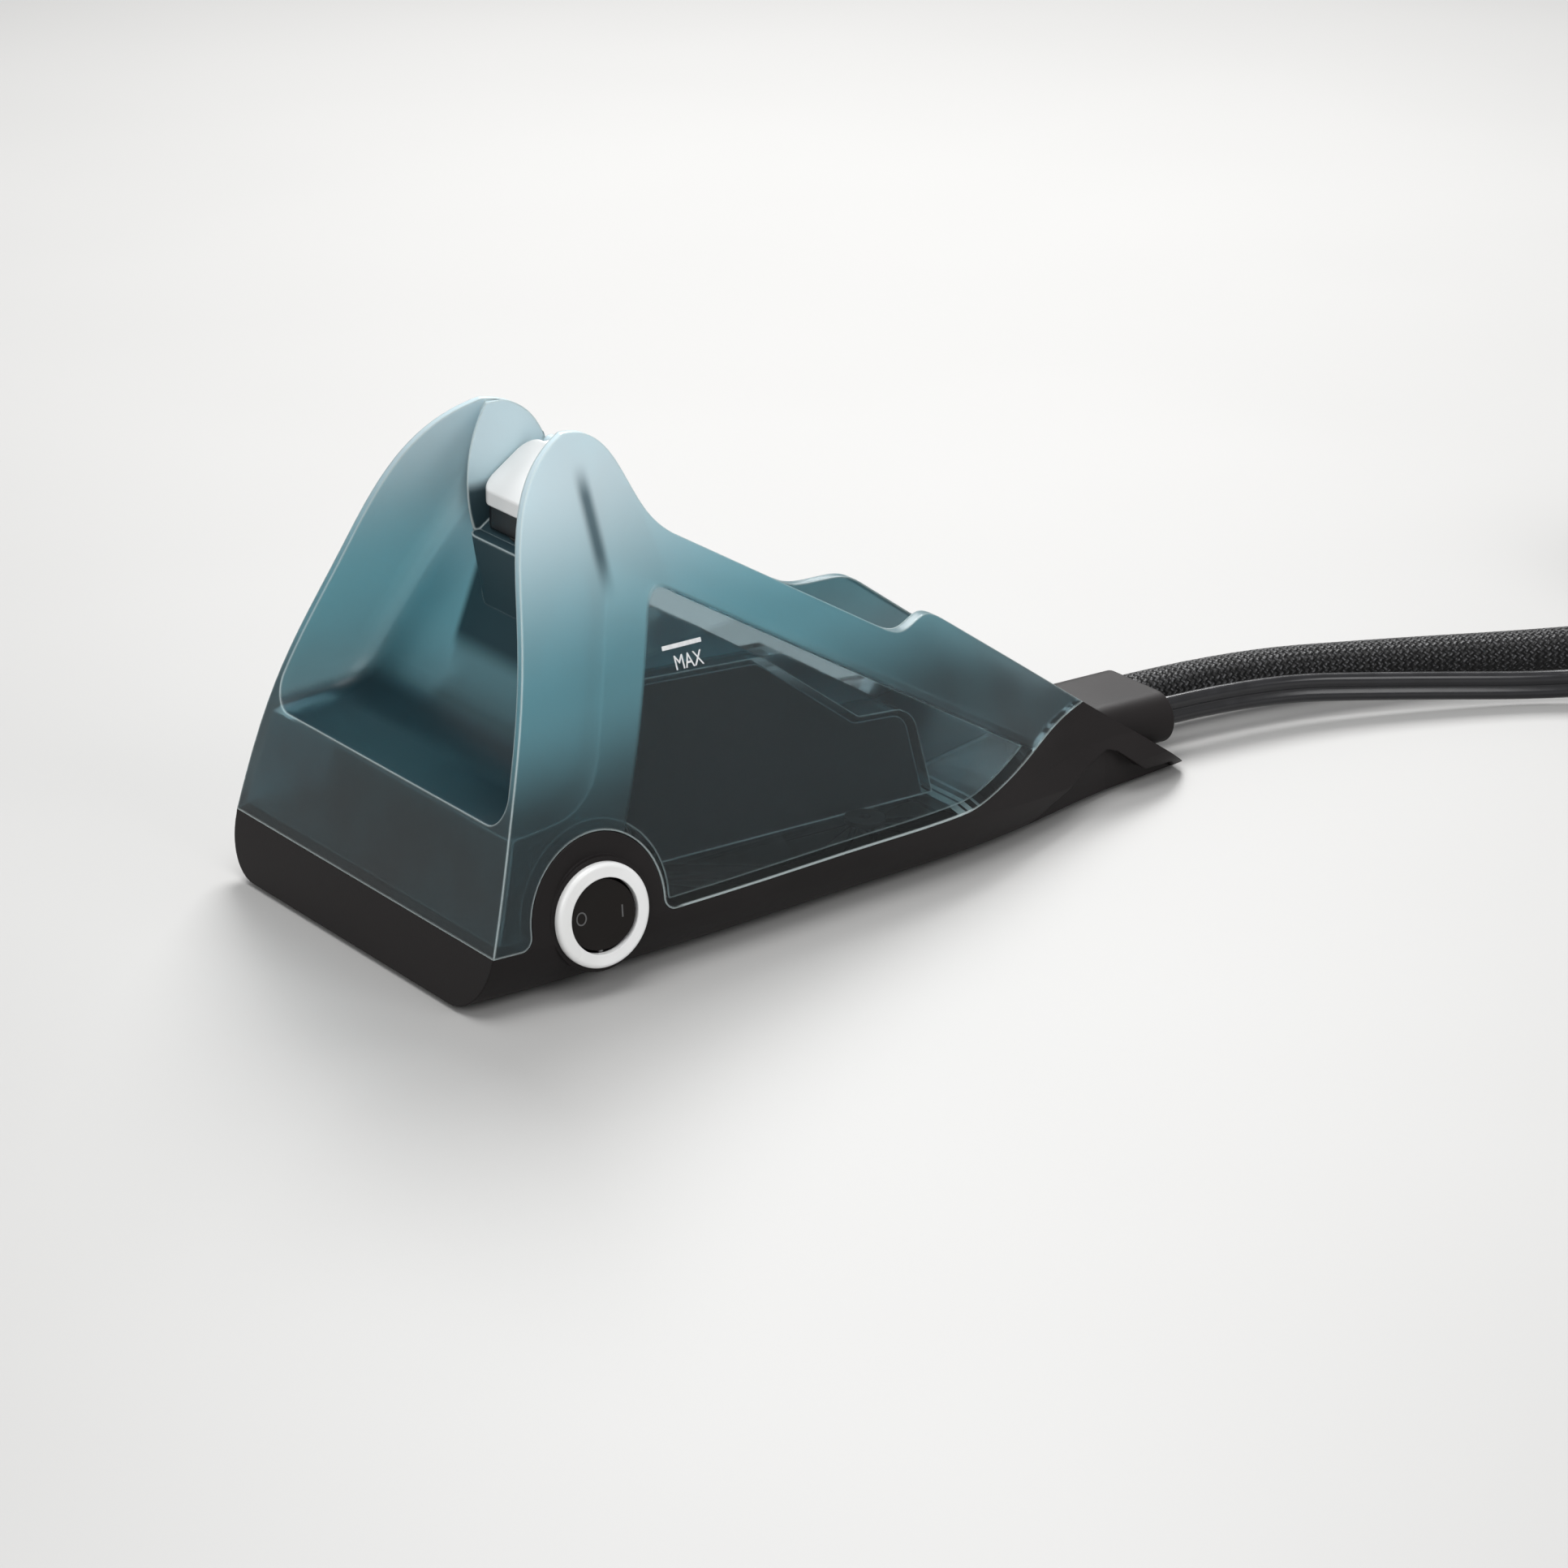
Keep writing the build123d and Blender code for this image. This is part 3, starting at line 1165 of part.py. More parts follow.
def make_plug_body():
    """Moulded two-pin plug lying flat."""
    wide, thick, deep = PLUG_SIZE
    plane = plug_plane()
    back = plane * RectangleRounded(wide * PLUG_TAPER, thick * PLUG_TAPER, PLUG_ROUND * PLUG_TAPER)
    front = plane.offset(deep) * RectangleRounded(wide, thick, PLUG_ROUND)
    return Part() + loft([back, front])


def make_plug_blades():
    """Two flat blades of the plug."""
    wide, thick, deep = BLADE_SIZE
    plane = plug_plane().offset(PLUG_SIZE[2])
    blades = Part()
    for side in (-1, 1):
        blades += extrude(plane * Pos(side * BLADE_PITCH / 2, 0) * Rectangle(thick, wide), amount=deep)
    return blades


def main():
    """Build every piece and write one file for each."""
    os.makedirs("parts", exist_ok=True)
    body = outer_form() & silhouette()
    pieces = {
        "base_hull": make_base_hull(body),
        "water_tank": make_water_tank(body),
        "bottom_plate": make_bottom_plate(),
        "plate_screws": make_plate_screws(),
        "rubber_feet": make_rubber_feet(),
        "exit_block": make_exit_block(),
        "boiler_cover": make_boiler_cover(),
        "boiler_bracket": make_boiler_bracket(),
        "boiler": make_boiler(),
        "boiler_lid": make_boiler_lid(),
        "thermostat": make_thermostat(),
        "thermal_fuse": make_thermal_fuse(),
        "pump": make_pump(),
        "pump_mounts": make_pump_mounts(),
        "outlet_grommet": make_outlet_grommet(),
        "suction_tube": make_suction_tube(),
        "feed_tube": make_feed_tube(),
        "steam_tube": make_steam_tube(),
        "hose_fitting": make_hose_fitting(),
        "lead_tail": make_lead_tail(),
        "terminal_block": make_terminal_block(),
        "switch_bezel": make_switch_bezel(),
        "switch_can": make_switch_can(),
        "switch_terminals": make_switch_terminals(),
        "rocker_pin": make_rocker_pin(),
        "switch_rocker": make_switch_rocker(),
        "cap_body": make_cap_body(),
        "cap_lid": make_cap_lid(),
        "cap_seal": make_cap_seal(),
        "cap_hinge_pin": hinge_rod(HINGE_PIN_RADIUS),
        "filler_strainer": make_filler_strainer(),
        "steam_hose": make_steam_hose(),
        "hose_coil": make_hose_coil(),
        "hose_tie": make_hose_tie(),
        "hose_connector": make_hose_connector(),
        "mains_lead": make_mains_lead(),
        "lead_coil": make_lead_coil(),
        "lead_tie": make_lead_tie(),
        "plug_body": make_plug_body(),
        "plug_blades": make_plug_blades(),
    }
    for name, piece in pieces.items():
        export_step(piece, f"parts/{name}.step")


if __name__ == "__main__":
    main()
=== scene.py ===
import math

import bmesh
import bpy
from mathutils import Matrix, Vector


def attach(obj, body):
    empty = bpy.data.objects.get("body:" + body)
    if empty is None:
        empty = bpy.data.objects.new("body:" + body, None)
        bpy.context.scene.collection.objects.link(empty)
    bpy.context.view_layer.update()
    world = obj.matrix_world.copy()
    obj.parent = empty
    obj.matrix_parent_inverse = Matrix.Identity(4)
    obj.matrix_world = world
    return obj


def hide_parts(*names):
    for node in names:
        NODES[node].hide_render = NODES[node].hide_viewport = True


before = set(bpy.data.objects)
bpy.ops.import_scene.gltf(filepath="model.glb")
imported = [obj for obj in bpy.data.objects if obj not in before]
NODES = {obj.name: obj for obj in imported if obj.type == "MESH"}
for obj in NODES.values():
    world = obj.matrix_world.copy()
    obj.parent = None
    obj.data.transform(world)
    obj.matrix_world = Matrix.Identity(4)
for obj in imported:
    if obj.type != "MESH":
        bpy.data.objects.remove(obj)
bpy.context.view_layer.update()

bl_info = {
    "name": "Steam mop tank unit",
    "version": (1, 0, 0),
    "blender": (4, 5, 0),
    "location": "View3D > Sidebar > Steam mop",
    "description": "Finishes, cords, marks and stage of a steam mop tank unit",
    "category": "Object",
}

# Places on the unit are in millimetres: along, rearward from the front seam corner, across and up.
FRONT_CORNER = -148.55

# Routes of hose and lead in metres, as their solids have them, and the coils that follow
HOSE_ROUTE = [
    (0.14745, 0.008, 0.0129), (0.19645, 0.008, 0.0129), (0.25545, -0.007, 0.0096),
    (0.31345, -0.0315, 0.0086), (0.34545, -0.0545, 0.013), (0.37245, -0.0795, 0.02565),
    (0.39545, -0.1015, 0.02565),
]
LEAD_ROUTE = [
    (0.14745, -0.0095, 0.0129), (0.19545, -0.0095, 0.0129), (0.24545, -0.027, 0.0086),
    (0.30145, -0.0565, 0.0057), (0.32945, -0.083, 0.0135), (0.35145, -0.106, 0.032),
    (0.37945, -0.121, 0.0511), (0.41745, -0.116, 0.0511), (0.46345, -0.106, 0.0511),
]
HOSE_COIL = {
    "inner": 0.048, "pitch": 0.0164, "rounds": 2.125, "drop": 0.0162, "tail": 0.044, "points": 16,
}
LEAD_COIL = {
    "inner": 0.041, "pitch": 0.0057, "rounds": 5, "drop": 0.0106, "tail": 0.036, "points": 20,
}
HOSE_SIDES = 20
LOBE_STEPS = 11
LOBE_WAIST = math.radians(30)
LINE_STEPS = 8

# Straps: the quarter turn of the coil that each is on, and the rounding of its corners
HOSE_STRAP = {"quarter": 2, "corner": 0.0085}
LEAD_STRAP = {"quarter": 3, "corner": 0.0034}
STRAP_SIGNS = ((1, 1), (-1, 1), (-1, -1), (1, -1))
STRAP_START = 0.3
STRAP_LAP = (-0.9, 0.8)
LAP_STEPS = 8
CORNER_STEPS = 8
LAP_LIFT = 1.04
LAP_RISE = 2
STRAP_TIP = (1.0, 0.93, 0.72)
STRAP_TRIM = 0.35
STRAP_RIB = 0.0008
STRAP_YARNS = 30

# Finishes: where a noise turns from low to high, and the painted highlight on the strands of the
# braid
CLOUD_SPAN = (0.3, 0.7)
STRAND_GLINT = (0.10, 0.10, 0.105)

# Zones of the tank wall, each limit as the two places between which the look changes
WINDOW_FRONT = {"at": (51.3, 51.0), "inward": (0.903, -0.430)}
WINDOW_ROOF = {"at": (99.0, 101.6), "inward": (-0.506, -0.862)}
WINDOW_CORNER = 14.0
WINDOW_EDGE = (-0.4, 1.6)
SIDE_FROM = (0.024, 0.027)
WATER_TOP = (91.2, 91.9)
# Painted highlight along the seam at the foot of the tank
SEAM_TOP = (20.3, 21.0)
SEAM_FRONT = (66.0, 70.0)
SCOOP_LEVEL = (0.3, 0.8)
SCOOP_UP = ((50.0, 54.0), (66.0, 84.0))
SCOOP_BACK = (40.0, 48.0)
# Painted shade on the post under the cap, standing in for the cap's dark neck seen through the wall
# and the shade round it
POST_ACROSS = (0.0195, 0.0235)
POST_ALONG = ((47.0, 50.0), (74.0, 78.0))
POST_UP = ((64.0, 82.0), (128.0, 133.0))
# Painted shade in a streak on the horns, standing in for the inner wall seen through and its shadow
INNER_WALL_SHADE_ALONG = 63.2
INNER_WALL_SHADE_HALF = (0.4, 4.2)
INNER_WALL_SHADE_UP = ((108.0, 124.0), (138.0, 149.0))
# Painted shade at the foot of the wall: the heights over which it gives way to teal
FOOT_SHADE_UP = (30.0, 120.0)
MILK_UP = (45.0, 86.0)
# Painted highlight on the crown of the horns, from here up
CROWN_UP = (87.0, 149.0)
# Painted highlight on the edges, where the rounded normal turns from the plain one
EDGE_TURN = (0.01, 0.18)
EDGE_ROUND = 0.0013

# Level mark on the tank: a bar that falls to the rear, and letters under it
LEVEL_PLACE = (79.0, -75.0, 92.3)
LEVEL_BAR = (0.0174, -0.0018)
LEVEL_BAR_HALF = 0.0006
LEVEL_BAR_STEPS = 8
LETTER_HEIGHT = 0.0041
LETTER_PLACE = (0.0036, -0.0066)
LETTER_FALL = 0.103
CAPITAL_SHARE = 0.7
LEVEL_LIFT = 0.0001

# Rocker: the lean of its face, and its ring and stroke
ROCKER_PLACE = (38.0, -74.6, 25.5)
ROCKER_LEAN = math.radians(5.0)
MARK_HALF = 0.00022
MARK_LIFT = 0.00008
RING_PLACE = -0.0068
RING_RADII = (0.0016, 0.0019)
RING_STEPS = 32
STROKE_PLACE = 0.0066
STROKE_HALF = 0.0019
STROKE_STEPS = 4
CAST_START = 0.05
MARK_SINK = 1.5

# Stage: lamps by name, place, aim, width in metres and power in watts, and the photo's camera
LAMPS = (
    ("key", (0.75, 0.95, 1.15), (0.0, 0.0, 0.05), 0.7, 24.0),
    ("top", (-0.25, -0.15, 1.3), (0.0, 0.0, 0.05), 0.9, 8.0),
    ("front", (-1.2, -0.9, 0.7), (0.0, 0.0, 0.06), 0.8, 6.0),
    ("side", (0.35, -1.3, 1.0), (0.0, 0.0, 0.08), 0.7, 6.0),
)
ROOM_LIGHT = (0.92, 0.94, 0.97)
ROOM_STRENGTH = 0.36
FLOOR_HALF = 8.0
FLOOR_FADE = (1.25, 2.1)
FRAME_PIXELS = 1932.0
FOCAL_PIXELS = 6400.0
SHIFT_PIXELS = -39.0
SENSOR_WIDTH = 36.0
CAMERA_PLACE = (-0.88775, -1.2636, 0.6120)
CAMERA_AIM = (0.5414, 0.7631, -0.3529)


def spot(along, across, up):
    """A point in metres from millimetres along, across and up."""
    return Vector(((along + FRONT_CORNER) / 1000, across / 1000, up / 1000))


class CordSettings(bpy.types.PropertyGroup):
    """Sizes of hose and lead"""

    hose_diameter: bpy.props.FloatProperty(
        name="Hose diameter", description="Outside of the braid",
        default=0.0155, unit="LENGTH")
    lead_width: bpy.props.FloatProperty(
        name="Lead width", description="Flat twin lead across both cores",
        default=0.010, unit="LENGTH")
    lead_thickness: bpy.props.FloatProperty(
        name="Lead thickness", description="Flat twin lead across one core",
        default=0.005, unit="LENGTH")
    strap_thickness: bpy.props.FloatProperty(
        name="Strap thickness", description="Hook strap round each coil",
        default=0.0011, unit="LENGTH")
    braid_pitch: bpy.props.FloatProperty(
        name="Braid pitch", description="Length of one crossing of the braid",
        default=0.0026, unit="LENGTH")
    braid_strands: bpy.props.IntProperty(
        name="Braid strands", description="Strands each way round the hose", default=22, min=4)


class ColourSettings(bpy.types.PropertyGroup):
    """Colours of the finishes, linear"""

    teal: bpy.props.FloatVectorProperty(
        name="Frosted teal", description="Frosted tank wall",
        subtype="COLOR", size=3, default=(0.21, 0.50, 0.575))
    # Painted shade at the foot of the tank wall
    foot_shade: bpy.props.FloatVectorProperty(
        name="Shadow", description="Foot of the tank wall",
        subtype="COLOR", size=3, default=(0.15, 0.207, 0.232))
    # Painted shade on the scoop floor, on the post and in the streak on the horns
    shaded_teal: bpy.props.FloatVectorProperty(
        name="Shaded teal", description="Scoop floor and filler post",
        subtype="COLOR", size=3, default=(0.028, 0.078, 0.104))
    # Painted highlight on the crown of the horns
    frost_and_painted_light: bpy.props.FloatVectorProperty(
        name="Highlight", description="Pale frost on the horns",
        subtype="COLOR", size=3, default=(0.70, 0.84, 0.89))
    # Painted highlight on the edges and along the seam of the tank
    rim_highlight: bpy.props.FloatVectorProperty(
        name="Rim", description="Moulded edges of the tank",
        subtype="COLOR", size=3, default=(0.78, 0.91, 0.91))
    window: bpy.props.FloatVectorProperty(
        name="Window", description="Clear part of the tank wall",
        subtype="COLOR", size=3, default=(0.60, 0.70, 0.73))
    charcoal: bpy.props.FloatVectorProperty(
        name="Charcoal", description="Base and exit block",
        subtype="COLOR", size=3, default=(0.0145, 0.0125, 0.0125))
    cover: bpy.props.FloatVectorProperty(
        name="Cover", description="Boiler cover inside the tank",
        subtype="COLOR", size=3, default=(0.012, 0.014, 0.017))
    white: bpy.props.FloatVectorProperty(
        name="White", description="Cap lid and switch ring",
        subtype="COLOR", size=3, default=(0.80, 0.80, 0.79))
    rocker: bpy.props.FloatVectorProperty(
        name="Rocker", description="Switch rocker",
        subtype="COLOR", size=3, default=(0.010, 0.008, 0.007))
    braid: bpy.props.FloatVectorProperty(
        name="Braid", description="Textile braid of the hose",
        subtype="COLOR", size=3, default=(0.004, 0.004, 0.0045))
    vinyl: bpy.props.FloatVectorProperty(
        name="Vinyl", description="Sheath of the lead",
        subtype="COLOR", size=3, default=(0.009, 0.009, 0.011))
    strap: bpy.props.FloatVectorProperty(
        name="Strap", description="Hook straps of the coils",
        subtype="COLOR", size=3, default=(0.014, 0.014, 0.015))
    floor: bpy.props.FloatVectorProperty(
        name="Floor", description="Plain pale floor",
        subtype="COLOR", size=3, default=(0.50, 0.495, 0.485))
    backdrop: bpy.props.FloatVectorProperty(
        name="Backdrop", description="Pale studio behind the floor",
        subtype="COLOR", size=3, default=(0.55, 0.55, 0.55))


class Tap:
    """An output socket that can stand in a sum"""

    def __init__(self, paint, socket):
        self.paint = paint
        self.socket = socket

    def math(self, operation, *values):
        sockets = dict(enumerate((self, *values)))
        return self.paint.node("ShaderNodeMath", {"operation": operation}, sockets)

    def __add__(self, other):
        return self.math("ADD", other)

    def __radd__(self, other):
        return self.math("ADD", other)

    def __sub__(self, other):
        return self.math("SUBTRACT", other)

    def __rsub__(self, other):
        return self.paint.node("ShaderNodeMath", {"operation": "SUBTRACT"}, {0: other, 1: self})

    def __mul__(self, other):
        return self.math("MULTIPLY", other)

    def __rmul__(self, other):
        return self.math("MULTIPLY", other)

    def __truediv__(self, other):
        return self.math("DIVIDE", other)

    def __rtruediv__(self, other):
        return self.paint.node("ShaderNodeMath", {"operation": "DIVIDE"}, {0: other, 1: self})

    def most(self, other):
        """The larger of two values."""
        return self.math("MAXIMUM", other)

    def __abs__(self):
        return self.math("ABSOLUTE")

    def ease(self, low, high, start=0.0, end=1.0):
        """Smooth step from start to end as the value goes from low to high."""
        return self.paint.node(
            "ShaderNodeMapRange", {"interpolation_type": "SMOOTHSTEP"},
            {"Value": self, "From Min": low, "From Max": high, "To Min": start, "To Max": end})

    def band(self, rise, fall):
        """One between two limits, each given as the places between which it changes."""
        return self.ease(*rise) * (1.0 - self.ease(*fall))


class Paint:
    """A material, or the world, under construction"""

    def __init__(self, name, world=False):
        self.owner = bpy.data.worlds.new(name) if world else bpy.data.materials.new(name)
        self.owner.use_nodes = True
        self.tree = self.owner.node_tree
        self.tree.nodes.clear()
        ending = "ShaderNodeOutputWorld" if world else "ShaderNodeOutputMaterial"
        self.result = self.tree.nodes.new(ending)

    def node(self, kind, settings=None, sockets=None, out=0):
        """Adds a node: its settings first, then the values or links of its sockets."""
        made = self.tree.nodes.new(kind)
        for name, value in (settings or {}).items():
            setattr(made, name, value)
        for name, value in (sockets or {}).items():
            if isinstance(value, Tap):
                self.tree.links.new(value.socket, made.inputs[name])
            else:
                made.inputs[name].default_value = value
        return Tap(self, made.outputs[out])

    def place(self):
        """Object coordinates, in metres."""
        return self.node("ShaderNodeTexCoord", out="Object")

    def lengthwise(self):
        """Metres along a cord or strap, and the share of the way round or across it."""
        return self.axes(self.node("ShaderNodeUVMap", {"uv_map": "lengthwise"}))[:2]

    def axes(self, place):
        """The three values of a vector."""
        split = self.node("ShaderNodeSeparateXYZ", None, {"Vector": place})
        return [Tap(self, out) for out in split.socket.node.outputs]

    def noise(self, scale, detail=2.0):
        """Grey noise at a scale per metre."""
        sockets = {"Vector": self.place(), "Scale": scale, "Detail": detail, "Roughness": 0.55}
        return self.node("ShaderNodeTexNoise", None, sockets)

    def blend(self, factor, a, b):
        """Mixes two colours."""
        a, b = (c if isinstance(c, Tap) else (*c, 1.0) for c in (a, b))
        sockets = {"Factor": factor, 6: a, 7: b}
        return self.node("ShaderNodeMix", {"data_type": "RGBA"}, sockets, out=2)

    def cloudy(self, cloud, colour, low, high):
        """A colour that a noise makes darker or lighter."""
        return self.blend(cloud.ease(*CLOUD_SPAN), shade(colour, low), shade(colour, high))

    def bump(self, height, distance, strength, normal=None):
        """Normal bent by a height in metres."""
        sockets = {"Height": height, "Distance": distance, "Strength": strength}
        if normal:
            sockets["Normal"] = normal
        return self.node("ShaderNodeBump", None, sockets)

    def bevel(self, radius):
        """Normal that rounds sharp edges."""
        return self.node("ShaderNodeBevel", {"samples": 6}, {"Radius": radius})

    def shader(self, colour, rough, **more):
        """A Principled shader; more names its other sockets with _ for spaces."""
        base = colour if isinstance(colour, Tap) else (*colour, 1.0)
        sockets = {"Base Color": base, "Roughness": rough}
        for name, value in more.items():
            sockets[name.replace("_", " ")] = value
        return self.node("ShaderNodeBsdfPrincipled", None, sockets)

    def layered(self, factor, under, over):
        """Mixes two shaders."""
        return self.node("ShaderNodeMixShader", None, {"Fac": factor, 1: under, 2: over})

    def watched(self):
        """One where the camera sees a point, also in gloss or through the tank, else zero."""
        rays = self.node("ShaderNodeLightPath").socket.node.outputs
        kinds = ("Camera", "Glossy", "Transmission")
        camera, gloss, through = (Tap(self, rays[f"Is {kind} Ray"]) for kind in kinds)
        return camera.most(gloss).most(through)

    def show(self, shader):
        """Ends the nodes with a shader."""
        self.tree.links.new(shader.socket, self.result.inputs["Surface"])
        return self.owner


def colours():
    return bpy.context.scene.mop_colours


def cords():
    return bpy.context.scene.mop_cords


def shade(colour, factor):
    """A colour made lighter or darker."""
    return tuple(min(1.0, c * factor) for c in colour)


def moulded(name, colour, rough=0.42, grain=0.00006, edge=0.0006, coat=0.0, gloss=0.5):
    """Moulded plastic with a fine spark-eroded grain and slightly worn edges."""
    paint = Paint(name)
    cloud = paint.noise(22.0)
    tint = paint.cloudy(cloud, colour, 0.86, 1.16)
    normal = paint.bump(paint.noise(1500.0), grain, 0.5, paint.bevel(edge))
    roughness = cloud.ease(0.25, 0.75, rough - 0.05, rough + 0.06)
    return paint.show(paint.shader(
        tint, roughness, Normal=normal, Coat_Weight=coat, Coat_Roughness=0.2,
        Specular_IOR_Level=gloss))


def smooth_metal(name, colour, rough=0.3):
    """Plain metal with faint drawn lines."""
    paint = Paint(name)
    lines = paint.noise(420.0)
    tint = paint.cloudy(lines, colour, 0.85, 1.1)
    roughness = lines.ease(*CLOUD_SPAN, rough - 0.08, rough + 0.1)
    return paint.show(paint.shader(tint, roughness, Metallic=1.0))


def window_side(along, up, side):
    """Millimetres inward from one straight side of the window."""
    return (along - side["at"][0]) * side["inward"][0] + (up - side["at"][1]) * side["inward"][1]


def tank_plastic():
    """Frosted teal wall with a clear window on each side, painted highlights on its edges, seam and
    horn crowns, painted shade at its foot, scoop floor, post and horn streak, and a fill line.
    """
    paint = Paint("tank_teal")
    look = colours()
    teal = look.teal
    x, y, z = paint.axes(paint.place())
    along = x * 1000.0 - FRONT_CORNER
    up = z * 1000.0
    plain = paint.node("ShaderNodeNewGeometry", out="Normal")
    rounded = paint.bevel(EDGE_ROUND)
    cloud = paint.noise(30.0)

    # Where each look is: window, painted highlight on the edges and along the seam, painted shade
    # on the scoop floor, on the post and in a streak on the horns
    on_side = abs(y).ease(*SIDE_FROM)
    inward = window_side(along, up, WINDOW_FRONT)
    inward = inward.math("SMOOTH_MIN", window_side(along, up, WINDOW_ROOF), WINDOW_CORNER)
    window = inward.ease(*WINDOW_EDGE) * on_side
    alike = paint.node(
        "ShaderNodeVectorMath", {"operation": "DOT_PRODUCT"}, {0: rounded, 1: plain}, out="Value")
    seam = (1.0 - up.ease(*SEAM_TOP)) * along.ease(*SEAM_FRONT)
    edge = ((1.0 - alike).ease(*EDGE_TURN) * 0.88).most(seam * 0.8)
    # Painted shade on the scoop floor, where it faces up
    flat = paint.axes(plain)[2].ease(*SCOOP_LEVEL)
    scoop = flat * up.band(*SCOOP_UP) * (1.0 - along.ease(*SCOOP_BACK))
    post = (1.0 - abs(y).ease(*POST_ACROSS)) * along.band(*POST_ALONG) * up.band(*POST_UP)
    # Painted shade: a dark streak on the horns where the inner wall and its shadow show through
    inner_wall_shade = (1.0 - abs(along - INNER_WALL_SHADE_ALONG).ease(*INNER_WALL_SHADE_HALF)) * up.band(*INNER_WALL_SHADE_UP) * on_side
    milky = up.ease(*MILK_UP)
    crown = up.ease(*CROWN_UP)

    # Frosted wall that lets light through, from painted shade at its foot up to teal, with painted
    # shade on the scoop floor and in a streak on the horns
    tint = paint.blend(up.ease(*FOOT_SHADE_UP), look.foot_shade, teal)
    tint = paint.blend(cloud.ease(*CLOUD_SPAN, 0.0, 0.2), tint, shade(teal, 1.15))
    tint = paint.blend(scoop, tint, look.shaded_teal)
    tint = paint.blend(inner_wall_shade * 0.7, tint, look.shaded_teal)
    grain = paint.bump(paint.noise(2200.0), 0.00004, 0.15, rounded)
    roughness = cloud.ease(*CLOUD_SPAN, 0.28, 0.36)
    frost_and_painted_light = paint.shader(tint, roughness, Normal=grain, Transmission_Weight=0.93, IOR=1.34)

    # Milky film over it, with painted shade at its foot, on the scoop floor and in the streak on
    # the horns, and a painted highlight on the crown of the horns
    milk_and_painted_light = paint.blend(milky, shade(look.foot_shade, 0.25), shade(teal, 0.95))
    milk_and_painted_light = paint.blend(crown, milk_and_painted_light, look.frost_and_painted_light)
    milk_and_painted_light = paint.blend(inner_wall_shade * 0.85, milk_and_painted_light, look.shaded_teal)
    milk_and_painted_light = paint.blend(scoop, milk_and_painted_light, shade(look.shaded_teal, 0.35))
    cast = (milky * 0.27 + crown * 0.42 + 0.07).most(scoop * 0.6)
    wall = paint.layered(cast, frost_and_painted_light, paint.shader(milk_and_painted_light, 0.34, Normal=grain))

    # Painted shade on the post: a dark film standing in for the cap's dark neck seen through the
    # wall and the shade round it
    dark = paint.shader(shade(look.shaded_teal, 0.35), 0.45, Normal=grain, Specular_IOR_Level=0.12)
    wall = paint.layered(post * 0.92, wall, dark)
    wetted = paint.blend(up.ease(*WATER_TOP), shade(look.window, 0.8), look.window)
    clear = paint.shader(wetted, 0.06, Transmission_Weight=0.98, IOR=1.25)
    wall = paint.layered(window, wall, clear)
    # Painted highlight on the edges and along the seam
    pale = paint.shader(look.rim_highlight, 0.3, Normal=rounded, Transmission_Weight=0.2)
    return paint.show(paint.layered(edge, wall, pale))


def braided():
    """Textile braid: crossing strands of black yarn with painted highlights on the strand tops."""
    paint = Paint("hose_braid")
    size = cords()
    u, v = paint.lengthwise()
    run = u / size.braid_pitch
    lap = v * float(size.braid_strands)
    rise = run + lap
    fall = run - lap
    over = (rise.math("FLOOR") + fall.math("FLOOR")).math("PINGPONG", 1.0)
    rising = abs((rise * math.pi).math("SINE"))
    falling = abs((fall * math.pi).math("SINE"))
    height = rising * over + falling * (1.0 - over)
    yarn = (run * 14.0 + lap * 6.0).math("SINE").ease(-1.0, 1.0)
    # Painted highlight on the tops of the strands, broken up by noise
    strand_glint = height.ease(0.72, 1.0) * paint.noise(900.0, 1.0).ease(0.48, 0.62)
    tint = paint.blend(strand_glint, colours().braid, STRAND_GLINT)
    normal = paint.bump(height + yarn * 0.12, 0.0006, 0.8)
    roughness = height.ease(0.0, 1.0, 0.75, 0.45)
    return paint.show(paint.shader(tint, roughness, Normal=normal, Specular_IOR_Level=0.35))


def webbing():
    """Woven hook strap: ribs across and fine yarn along."""
    paint = Paint("strap_weave")
    u, v = paint.lengthwise()
    ribs = abs((u * (math.pi / STRAP_RIB)).math("SINE"))
    yarn = abs((v * (math.pi * STRAP_YARNS)).math("SINE"))
    height = ribs * 0.6 + yarn * 0.4
    strap_colour = colours().strap
    # Painted shade in the hollows of the weave and painted highlight on the ribs
    tint = paint.blend(height.ease(0.2, 0.9), shade(strap_colour, 0.6), shade(strap_colour, 1.5))
    normal = paint.bump(height + paint.noise(3000.0) * 0.3, 0.00025, 0.7)
    roughness = height.ease(0.0, 1.0, 0.9, 0.65)
    return paint.show(paint.shader(tint, roughness, Normal=normal, Specular_IOR_Level=0.3))


def vinyl():
    """Smooth vinyl sheath with faint clouds."""
    paint = Paint("lead_vinyl")
    cloud = paint.noise(160.0)
    tint = paint.cloudy(cloud, colours().vinyl, 0.85, 1.2)
    normal = paint.bump(paint.noise(900.0), 0.00002, 0.2)
    return paint.show(paint.shader(tint, cloud.ease(*CLOUD_SPAN, 0.20, 0.25), Normal=normal))


def plain_print(name, colour):
    """Printed mark with a slightly uneven ink film."""
    paint = Paint(name)
    film = paint.noise(700.0)
    tint = paint.cloudy(film, colour, 0.93, 1.05)
    return paint.show(paint.shader(tint, film.ease(*CLOUD_SPAN, 0.45, 0.55)))


def dress(material, *names):
    """Gives CAD nodes a material."""
    for name in names:
        slots = NODES[name].data.materials
        slots.clear()
        slots.append(material)


def mesh_piece(name, bm, material, body="base"):
    """Turns a bmesh into a piece that rides on a body."""
    mesh = bpy.data.meshes.new(name)
    bm.to_mesh(mesh)
    bm.free()
    mesh.materials.append(material)
    piece = bpy.data.objects.new(name, mesh)
    bpy.context.scene.collection.objects.link(piece)
    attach(piece, body)
    return piece


